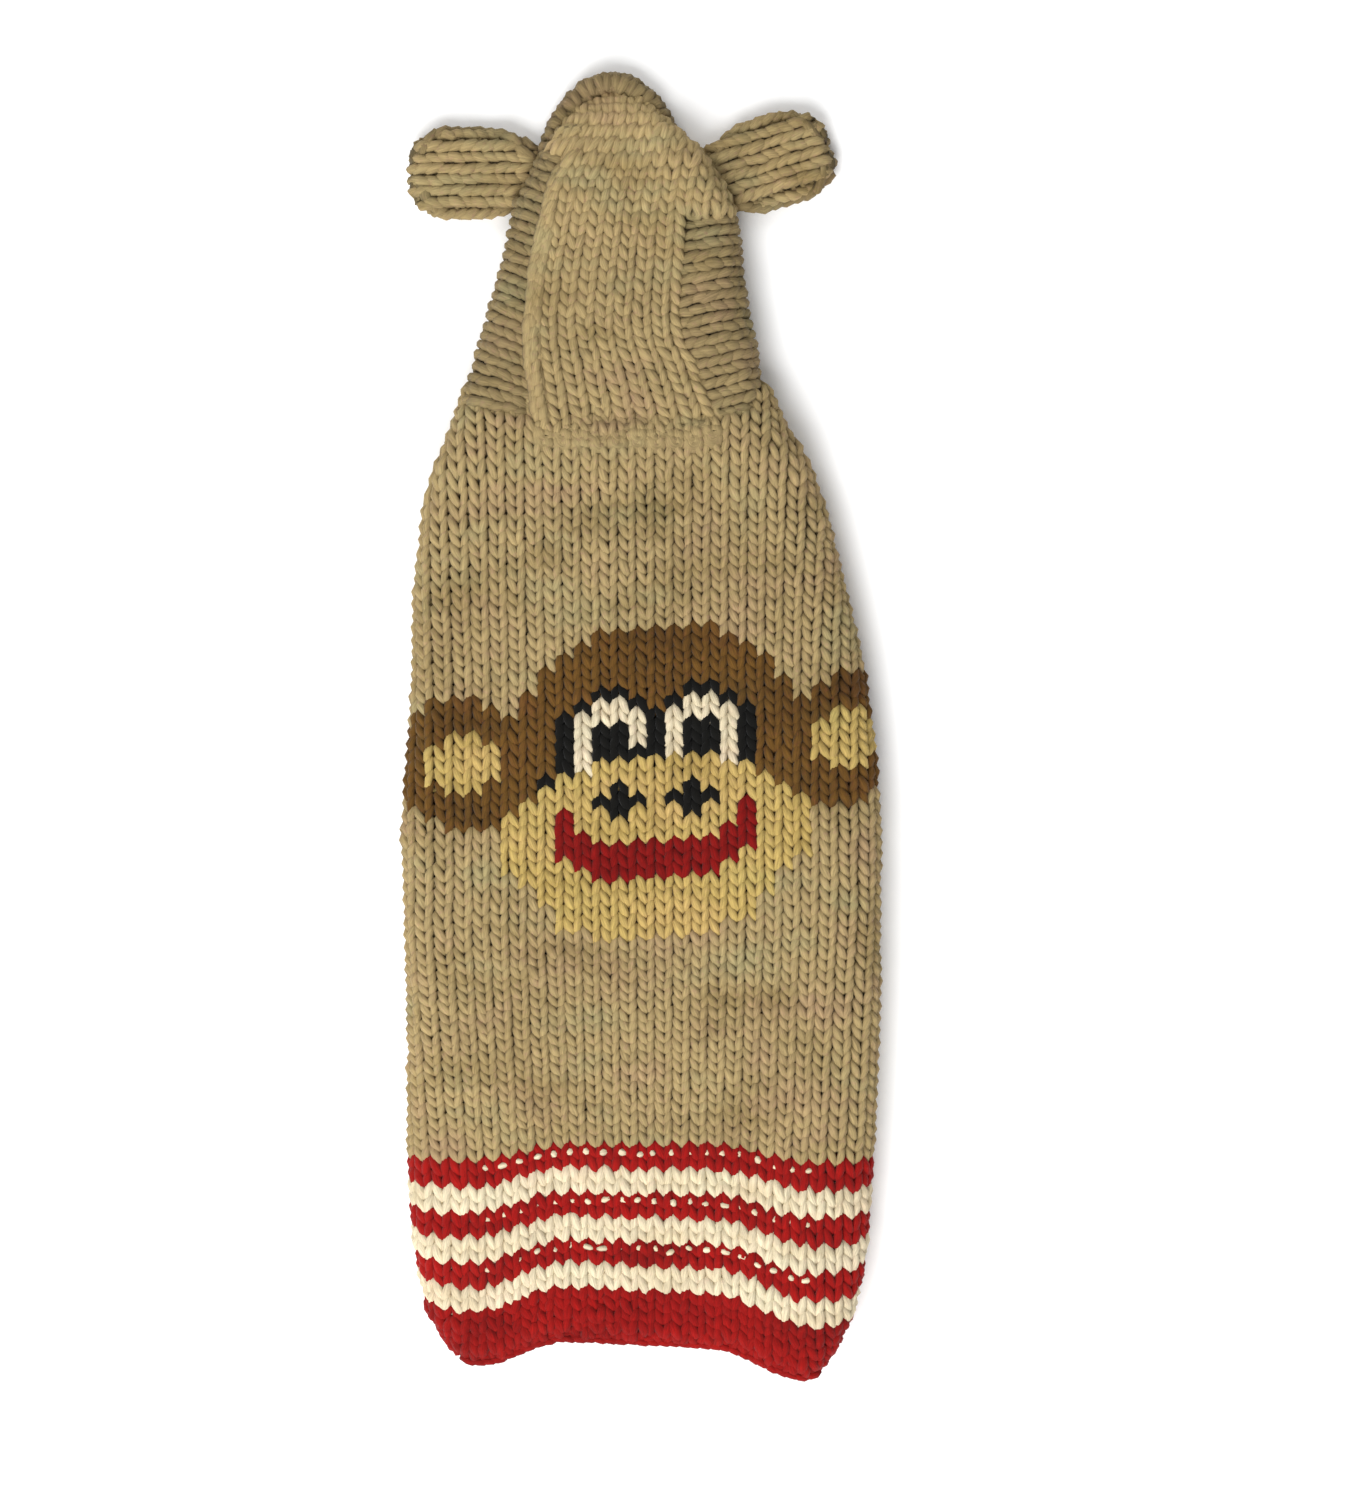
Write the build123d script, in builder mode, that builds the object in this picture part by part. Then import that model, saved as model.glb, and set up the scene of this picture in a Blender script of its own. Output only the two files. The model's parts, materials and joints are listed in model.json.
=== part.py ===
from build123d import *
import os

# Hand-knitted hooded dog sweater, laid flat on its belly with the back up.
# X runs to the right, Y towards the hood, Z up from the floor. Millimetres.

# Driving dimensions
back_length = 382.0        # neck seam to the middle of the tail hem
body_half_width = 101.5    # widest half width of the body, laid flat
body_height = 30.0         # floor to back, the tube laid flat
body_rim = 13.0            # rounding of the body's sides
wall = 6.0                 # one thickness of bulky knitting
hood_length = 147.0        # neck seam to crown
hood_half_width = 64.5     # widest half width of the hood, at the neck
hood_height = 28.0         # floor to the top of the hood
hood_rim = 12.0            # rounding of the hood's sides and crown
hood_shift = -12.5         # the hood's middle line, off the body's
crown_start = 97.0         # from the neck seam to where the middle panel turns down over the crown
crown_overhang = 4.6       # how far the edge band shows past the crown
tail_drop = 14.4           # how far the hem's right corner hangs past its middle
wale = 7.66                # width of one stitch in the colour work
motif_shift = 4.4          # middle wale of the face, off the middle line
motif_tilt = 0.07          # rise of the courses across the face, per mm
hem_bow = 11.0             # how far the stripes' ends hang below their middle
neck_seam_width = 4.0
seam_width = 4.0           # sewn seams between panels
side_wrap = 22.0           # the back panel's fold under each side
belly_length = 232.0       # belly panel, from the neck seam
belly_band_width = 12.0
leg_hole_width = 34.0
leg_hole_length = 40.0
leg_band_width = 8.0
leg_drop = 56.0            # leg holes, below the neck seam
face_width = 52.0          # face opening, on the underside of the hood
face_length = 116.0
edge_band_width = 12.0
ear_length = 50.0
ear_width = 34.0
ear_layer = 6.0            # each of the ear's two layers
ear_corner = 9.0
ear_root_length = 22.0     # sewn root, along the hood's edge
root_seam_depth = 3.0
joint_gap = 0.4            # between pieces on different bodies

# Rows and their height, from the neck seam down: plain, face, plain, stripes, hem
zones = ((23, 4.78), (21, 5.04), (19, 4.42), (12, 4.93), (5, 4.62))
face_row = 23
plain_end = 63
stripe_rows = 2
stripe_count = 6

total_length = back_length + tail_drop + hood_length + crown_overhang
neck_y = total_length / 2 - hood_length - crown_overhang
body_mid = body_height / 2
far = 20.0                 # how far blanks run past their trimmed ends
around = 12.0              # how far cutting regions run past the sides

# The body's sides: share of the back's length down from the neck, share of the half width
left_side = ((0.0, 0.80), (0.09, 0.92), (0.22, 0.955), (0.44, 1.0), (0.66, 0.972), (0.82, 0.97), (0.95, 0.93))
right_side = ((0.0, 0.61), (0.09, 0.775), (0.22, 0.90), (0.44, 1.0), (0.66, 0.993), (0.82, 0.967), (0.95, 0.91))
# The tail hem: share of the half width, share of the tail drop below the hem's middle
hem_edge = ((-1.0, -2.6), (-0.93, -1.5), (-0.85, -0.05), (-0.67, 0.55), (-0.1, 0.0), (0.35, 0.42),
            (0.655, 1.0), (0.83, 0.0), (0.93, -1.7), (1.02, -2.6))
# The hood's edge: share of the half width off its middle line, share of the length up
hood_edge = ((-1.0, 0.0), (-0.99, 0.13), (-0.78, 0.40), (-0.65, 0.61), (-0.455, 0.84), (-0.29, 0.955),
             (-0.02, 1.0), (0.27, 0.955), (0.50, 0.84), (0.79, 0.61), (0.84, 0.40), (1.0, 0.08), (1.03, 0.0))
# The seams between the hood's middle and its sides, the same way
left_hood_seam = ((-0.53, -0.02), (-0.50, 0.40), (-0.34, 0.65), (-0.42, 0.84), (-0.5, 1.1))
right_hood_seam = ((0.58, -0.02), (0.40, 0.22), (0.35, 0.37), (0.30, 0.60), (0.5, 0.66), (1.1, 0.63))

# The knitted face: first wale, last wale, first row, last row, counted from the brow
head_blocks = [(-3, 3, -6, 4), (-4, 4, -5, 5), (-5, 5, -4, 5), (-6, 6, -3, 6), (-7, 7, -1, 7), (-8, 8, 1, 8)]
head_ear_blocks = [(8, 11, 1, 9), (9, 9, 0, 9), (10, 12, -1, 8), (13, 13, 0, 7), (14, 14, 1, 6)]
muzzle_blocks = [(-3, 3, 5, 20), (-4, 4, 6, 19), (-5, 5, 6, 18), (-6, 6, 7, 17), (-7, 7, 8, 16), (-8, 8, 9, 14)]
mouth_blocks = [(-3, 3, 12, 14), (-4, -4, 11, 13), (4, 4, 11, 13), (-5, -5, 9, 12), (5, 5, 9, 12)]
ear_patch_blocks = [(9, 9, 3, 5), (10, 11, 2, 6), (12, 12, 3, 5)]
outline_blocks = [(1, 1, 0, 0), (2, 3, -1, -1), (4, 4, 0, 0), (5, 5, 1, 5)]
bridge_blocks = [(0, 0, 1, 4)]
white_blocks = [(2, 3, 0, 1), (4, 4, 1, 5), (1, 1, 1, 4)]
pupil_blocks = [(2, 3, 2, 4)]
nostril_blocks = [(2, 2, 7, 9), (1, 3, 8, 8)]
lap = 0.35                 # how far a dark stitch reaches up beside its neighbour, in rows


def ease(share):
    share = min(max(share, 0.0), 1.0)
    return share * share * (3 - 2 * share)


def row_y(row):
    y = neck_y
    for count, height in zones:
        taken = min(max(row, 0), count)
        y -= taken * height
        row -= count
    return y


def course_y(row, x):
    tilt = motif_tilt * ease(row / 17) * (1 - ease((row - 44) / 19))
    bow = hem_bow * ease((row - 44) / 31)
    return row_y(row) + tilt * (x - motif_shift) - bow * ease((abs(x) / body_half_width - 0.3) / 0.4)


def wale_x(column):
    return motif_shift + column * wale


def mirrored(blocks):
    return [(-last, -first, top, bottom) for first, last, top, bottom in blocks]


def side_points(shares, sign, inset):
    points = [(sign * (body_half_width * share - inset), neck_y - back_length * down) for down, share in shares]
    end = points[-1][0]
    return [(points[0][0], neck_y + far)] + points + [(end, neck_y - back_length - tail_drop - far)]


# How far a side stands out from the middle line at a height
def side_reach(shares, y):
    down = (neck_y - y) / back_length
    spans = zip(shares, shares[1:])
    (start, low), (end, high) = next(span for span in spans if down <= span[1][0])
    return body_half_width * (low + (high - low) * (down - start) / (end - start))


# Plan of the body between its two sides, each moved in by an inset
def body_plan(inset=0.0):
    left = side_points(left_side, -1, inset)
    right = side_points(right_side, 1, inset)
    with BuildSketch() as plan:
        with BuildLine():
            Spline(*left)
            Line(left[-1], right[-1])
            Spline(*right)
            Line(right[0], left[0])
        make_face()
    return plan.sketch


# Everything above the tail hem's edge
def above_hem():
    hem_y = neck_y - back_length
    points = [(body_half_width * share, hem_y - tail_drop * drop) for share, drop in hem_edge]
    left = points[0][0] - around
    right = points[-1][0] + around
    with BuildSketch() as plan:
        with BuildLine():
            Polyline(points[0], (left, points[0][1]), (left, neck_y + far), (right, neck_y + far),
                     (right, points[-1][1]), points[-1])
            Spline(*points)
        make_face()
    return plan.sketch


# The band of fabric from one row's upper line to another's
def rows_plan(first, last):
    reach = body_half_width + around
    places = [reach * share for share in (-1.0, -0.63, -0.3, 0.0, 0.3, 0.63, 1.0)]
    upper = [(x, course_y(first, x)) for x in places]
    lower = [(x, course_y(last, x)) for x in places]
    with BuildSketch() as plan:
        with BuildLine():
            Spline(*upper)
            Line(upper[-1], lower[-1])
            Spline(*lower)
            Line(lower[0], upper[0])
        make_face()
    return plan.sketch


# Rectangle between two heights, over the full width
def slab_plan(low_y, high_y):
    middle = (low_y + high_y) / 2
    with BuildSketch() as plan:
        with Locations((0, middle)):
            Rectangle(2 * (body_half_width + around), high_y - low_y)
    return plan.sketch


# Stitches of the face that one yarn makes, as one stepped area
def stitch_plan(blocks, reach_up=0.0):
    with BuildSketch() as plan:
        for first, last, top, bottom in blocks:
            for column in range(first, last + 1):
                left = wale_x(column - 0.5)
                right = wale_x(column + 0.5)
                high = face_row + top - reach_up
                low = face_row + bottom + 1
                corners = ((left, course_y(low, left)), (right, course_y(low, right)),
                           (right, course_y(high, right)), (left, course_y(high, left)))
                Polygon(*corners, align=None)
    return plan.sketch


def hood_point(share, up):
    return (hood_shift + share * hood_half_width, neck_y + up * hood_length)


def hood_plan(inset=0.0):
    points = [Vector(*hood_point(share, up)) for share, up in hood_edge]
    if inset:
        ends = [points[0] - (points[1] - points[0])] + points + [points[-1] * 2 - points[-2]]
        chords = [after - before for before, after in zip(ends, ends[2:])]
        points = [point + chord.normalized().rotate(Axis.Z, -90) * inset for point, chord in zip(points, chords)]
    points = [(point.X, point.Y) for point in points]
    left = (points[0][0], neck_y - far)
    right = (points[-1][0], neck_y - far)
    with BuildSketch() as plan:
        with BuildLine():
            Spline(left, *points, right)
            Line(right, left)
        make_face()
    return plan.sketch


# The hood's middle panel, between its two seams, each moved outwards by half a seam's width
def hood_middle_plan(move):
    left = [Vector(*hood_point(share, up)) - (move, 0) for share, up in left_hood_seam]
    right = [Vector(*hood_point(share, up)) + (move, -move) for share, up in right_hood_seam]
    top = neck_y + 1.2 * hood_length
    with BuildSketch() as plan:
        with BuildLine():
            Spline(*left)
            Polyline(left[-1], (left[-1].X, top), (right[-1].X, top), right[-1])
            Spline(*right)
            Line(right[0], left[0])
        make_face()
    return plan.sketch


# Where the hood's edge stands at a height, left (-1) or right (1)
def hood_edge_x(y, side):
    up = (y - neck_y) / hood_length
    rows = [point for point in hood_edge if point[0] * side > 0]
    rows = sorted(rows, key=lambda point: point[1])
    for (share_a, up_a), (share_b, up_b) in zip(rows, rows[1:]):
        if up_a <= up <= up_b:
            share = share_a + (share_b - share_a) * (up - up_a) / (up_b - up_a)
            return hood_shift + share * hood_half_width
    return hood_shift + rows[-1][0] * hood_half_width


# A closed shell of knitting over a plan, its edges rounded, open wherever the plan is trimmed later
def laid_shell(outer_plan, inner_plan, height, rim):
    with BuildPart() as outer:
        add(outer_plan)
        extrude(amount=height)
        edges = outer.faces().filter_by(Axis.Z).edges()
        fillet(edges.filter_by(GeomType.LINE, reverse=True), rim)
    with BuildPart() as inner:
        with BuildSketch(Plane.XY.offset(wall)):
            add(inner_plan)
        extrude(amount=height - 2 * wall)
        edges = inner.faces().filter_by(Axis.Z).edges()
        fillet(edges.filter_by(GeomType.LINE, reverse=True), rim - wall)
    with BuildPart() as shell:
        add(outer.part)
        add(inner.part, mode=Mode.SUBTRACT)
    return shell.part


# The part of a blank that stands over a plan, between two heights
def over(blank, plan, low, high, mode=Mode.INTERSECT):
    with BuildPart() as made:
        add(blank)
        with BuildSketch(Plane.XY.offset(low)):
            add(plan)
        extrude(amount=high - low, mode=mode)
    return made


def save(piece, node):
    piece.part.label = node
    export_step(piece.part, f"parts/{node}.step")
    print(node, round(piece.part.volume), len(piece.part.solids()))


os.makedirs("parts", exist_ok=True)

# Body tube, trimmed to the hem, its underside cut away behind the belly panel
belly_y = neck_y - belly_length
tube = laid_shell(body_plan(), body_plan(wall), body_height, body_rim)
trimmed = over(tube, above_hem(), -1, body_height + 1).part
tail_under = over(trimmed, body_plan(side_wrap), -1, body_mid).part
with BuildPart() as tail_gap:
    add(tail_under)
    with BuildSketch():
        add(slab_plan(neck_y - back_length - tail_drop - far, belly_y))
    extrude(amount=body_mid, mode=Mode.INTERSECT)
with BuildPart() as body:
    add(trimmed)
    add(tail_gap.part, mode=Mode.SUBTRACT)

# Neck seam
collar = over(body.part, slab_plan(neck_y - neck_seam_width, neck_y), -1, body_height + 1)
save(collar, "neck_seam")

# Belly panel with its leg holes, its band and the two side seams
leg_y = neck_y - leg_drop
belly_mid_x = body_half_width * (right_side[1][1] - left_side[1][1]) / 2
belly_left_x = side_wrap - side_reach(left_side, leg_y)
belly_right_x = side_reach(right_side, leg_y) - side_wrap
leg_places = (((belly_left_x + belly_mid_x) / 2, leg_y), ((belly_mid_x + belly_right_x) / 2, leg_y))
print("leg holes at", leg_places)
belly_top = neck_y - neck_seam_width
underside = over(body.part, slab_plan(belly_y, belly_top), -1, body_mid).part
belly_all = over(underside, body_plan(side_wrap), -1, body_mid).part
with BuildPart() as belly:
    add(belly_all)
    with BuildSketch():
        add(slab_plan(belly_y, belly_y + belly_band_width))
        with Locations(*leg_places):
            Ellipse(leg_hole_width / 2 + leg_band_width, leg_hole_length / 2 + leg_band_width)
    extrude(amount=body_mid, mode=Mode.SUBTRACT)
save(belly, "belly_panel")
band = over(belly_all, slab_plan(belly_y, belly_y + belly_band_width), -1, body_mid)
save(band, "belly_band")
for side, place in zip(("left", "right"), leg_places):
    with BuildPart() as leg_band:
        with BuildSketch():
            with Locations(place):
                Ellipse(leg_hole_width / 2 + leg_band_width, leg_hole_length / 2 + leg_band_width)
                Ellipse(leg_hole_width / 2, leg_hole_length / 2, mode=Mode.SUBTRACT)
        extrude(amount=wall)
    save(leg_band, f"leg_band_{side}")
with BuildPart() as seams:
    add(over(underside, body_plan(side_wrap - seam_width), -1, body_mid).part)
    add(belly_all, mode=Mode.SUBTRACT)
for side, keep in (("left", Keep.BOTTOM), ("right", Keep.TOP)):
    with BuildPart() as side_seam:
        add(seams.part)
        split(bisect_by=Plane.YZ.offset(belly_mid_x), keep=keep)
    save(side_seam, f"side_seam_{side}")

# What is left of the body is the back: plain fabric, the face, the stripes and the hem
with BuildPart() as back:
    add(body.part)
    add(collar.part, mode=Mode.SUBTRACT)
    add(belly_all, mode=Mode.SUBTRACT)
    add(seams.part, mode=Mode.SUBTRACT)

hem_start = plain_end + stripe_rows * stripe_count
save(over(back.part, rows_plan(hem_start, hem_start + 20), -1, body_height + 1), "hem_band")
for stripe in range(stripe_count):
    first = plain_end + stripe_rows * stripe
    colour = ("red", "white")[stripe % 2]
    save(over(back.part, rows_plan(first, first + stripe_rows), -1, body_height + 1),
         f"{colour}_stripe_{stripe // 2 + 1}")

# The face: each yarn's stitches are one piece, let into the plain fabric
features = {"mouth_patch": stitch_plan(mouth_blocks)}
for side, turn in (("left", mirrored), ("right", list)):
    features[f"ear_patch_{side}"] = stitch_plan(turn(ear_patch_blocks))
    features[f"eye_outline_{side}"] = stitch_plan(turn(outline_blocks), lap)
    features[f"pupil_{side}"] = stitch_plan(turn(pupil_blocks))
    features[f"nostril_{side}"] = stitch_plan(turn(nostril_blocks))
features["eye_bridge"] = stitch_plan(bridge_blocks, lap)
for side, turn in (("left", mirrored), ("right", list)):
    with BuildSketch() as white:
        add(stitch_plan(turn(white_blocks)))
        add(features[f"eye_outline_{side}"], mode=Mode.SUBTRACT)
        add(features["eye_bridge"], mode=Mode.SUBTRACT)
    features[f"eye_white_{side}"] = white.sketch

head_area = stitch_plan(head_blocks + head_ear_blocks + mirrored(head_ear_blocks) + muzzle_blocks)
muzzle_area = stitch_plan(muzzle_blocks)
with BuildSketch() as muzzle_plan:
    add(muzzle_area)
    for name, area in features.items():
        if name.startswith(("mouth", "nostril", "eye")):
            add(area, mode=Mode.SUBTRACT)
with BuildSketch() as head_only:
    add(head_area)
    add(muzzle_area, mode=Mode.SUBTRACT)
    for name, area in features.items():
        add(area, mode=Mode.SUBTRACT)
features["muzzle_patch"] = muzzle_plan.sketch
features["head_patch"] = head_only.sketch

plain = over(back.part, rows_plan(-2, plain_end), -1, body_height + 1).part
save(over(plain, head_area, body_mid, body_height + 1, Mode.SUBTRACT), "back_panel")
for node, area in features.items():
    save(over(plain, area, body_mid, body_height + 1), node)

# Hood: a shell with the face opening in its underside and a band round the opening
face_x = hood_shift
face_y = neck_y + hood_length + crown_overhang - edge_band_width - face_length / 2 - 3
band_length = 2 * (neck_y + hood_length + crown_overhang - face_y)
band_width = face_width + 2 * edge_band_width
with BuildPart() as edge_band:
    with BuildSketch():
        with Locations((face_x, face_y)):
            Ellipse(band_width / 2, band_length / 2)
            Ellipse(face_width / 2, face_length / 2, mode=Mode.SUBTRACT)
    extrude(amount=wall)
save(edge_band, "hood_edge_band")
hood_tube = laid_shell(hood_plan(), hood_plan(wall), hood_height, hood_rim)
with BuildPart() as hood:
    add(hood_tube)
    with BuildSketch():
        add(slab_plan(neck_y - 2 * far, neck_y + joint_gap))
    extrude(amount=hood_height, mode=Mode.SUBTRACT)
    with BuildSketch():
        with Locations((face_x, face_y)):
            Ellipse(band_width / 2, band_length / 2)
    extrude(amount=wall, mode=Mode.SUBTRACT)

# Ears: two layers each, on a rounded root that turns beside the hood's edge
ear_height = 2 * ear_layer
root_offset = ear_height / 2 + 4 * joint_gap


# Root line and tip of an ear, left (-1) or right (1), raised by an angle from straight out
def ear_frame(side, up_share, angle):
    y = neck_y + up_share * hood_length
    low = Vector(hood_edge_x(y - ear_width / 2, side), y - ear_width / 2)
    high = Vector(hood_edge_x(y + ear_width / 2, side), y + ear_width / 2)
    along = (high - low).normalized()
    outward = Vector(along.Y, -along.X) * side
    middle = (low + high) * 0.5 + outward * root_offset
    reach = Vector(side, 0).rotate(Axis.Z, side * angle)
    return middle, along, outward, reach


ear_settings = {"left": (-1, 0.725, 1.0), "right": (1, 0.725, 19.0)}
root_seams = {}
for side, (sign, up_share, angle) in ear_settings.items():
    middle, along, outward, reach = ear_frame(sign, up_share, angle)
    root_a = middle - along * (ear_width / 2)
    root_b = middle + along * (ear_width / 2)
    tip_a = root_a + reach * (ear_length - ear_height)
    tip_b = root_b + reach * (ear_length - ear_height)
    with BuildPart() as ear:
        with BuildSketch() as ear_plan:
            with BuildLine():
                Polyline(root_a, tip_a, tip_b, root_b, close=True)
            make_face()
            tips = ear_plan.vertices().filter_by(lambda v: (Vector(v) - middle).dot(outward) > ear_width / 3)
            fillet(tips, ear_corner)
        extrude(amount=ear_height)
    with BuildPart() as root:
        with BuildSketch(Plane(origin=root_a + Vector(0, 0, ear_layer), z_dir=along)):
            Circle(ear_layer)
        extrude(amount=ear_width)
    with BuildPart() as whole_ear:
        add(ear.part)
        add(root.part)
    for layer, low in (("lining", 0.0), ("outer", ear_layer)):
        save(over(whole_ear.part, slab_plan(0, total_length), low, low + ear_layer), f"ear_{side}_{layer}")
    with BuildPart() as root_box:
        box_plane = Plane(origin=middle - outward * root_offset, x_dir=along, z_dir=Vector(0, 0, 1))
        with BuildSketch(box_plane):
            Rectangle(ear_root_length, 2 * root_seam_depth)
        extrude(amount=ear_height)
    with BuildPart() as root_seam:
        add(hood.part)
        add(root_box.part, mode=Mode.INTERSECT)
    root_seams[side] = root_seam.part
    save(root_seam, f"ear_root_seam_{side}")
    print(f"ear_{side} hinge at", middle + Vector(0, 0, ear_layer), "along", along)

# The hood's panels and the two seams between them


# Space over the hood's middle: its top layer, and the whole height at the crown
def hood_middle_block(move):
    plan = hood_middle_plan(move)
    with BuildPart() as block:
        with BuildSketch(Plane.XY.offset(hood_height / 2)):
            add(plan)
        extrude(amount=hood_height)
        with BuildSketch():
            add(plan)
            add(slab_plan(neck_y + crown_start, neck_y + 2 * hood_length), mode=Mode.INTERSECT)
        extrude(amount=hood_height)
    return block.part


with BuildPart() as hood_body:
    add(hood.part)
    for seam in root_seams.values():
        add(seam, mode=Mode.SUBTRACT)
inner_block = hood_middle_block(-seam_width / 2)
outer_block = hood_middle_block(seam_width / 2)
with BuildPart() as centre_panel:
    add(hood_body.part)
    add(inner_block, mode=Mode.INTERSECT)
save(centre_panel, "hood_centre_panel")
with BuildPart() as hood_seams:
    add(hood_body.part)
    add(outer_block, mode=Mode.INTERSECT)
    add(inner_block, mode=Mode.SUBTRACT)
with BuildPart() as hood_sides:
    add(hood_body.part)
    add(outer_block, mode=Mode.SUBTRACT)
for side, keep in (("left", Keep.BOTTOM), ("right", Keep.TOP)):
    with BuildPart() as hood_side:
        add(hood_sides.part)
        split(bisect_by=Plane.YZ.offset(hood_shift), keep=keep)
    save(hood_side, f"hood_side_{side}")
    with BuildPart() as hood_seam:
        add(hood_seams.part)
        split(bisect_by=Plane.YZ.offset(hood_shift), keep=keep)
    save(hood_seam, f"hood_seam_{side}")
print("hood hinge at", (0, neck_y, body_height + 1))
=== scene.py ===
import json
import math

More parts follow.
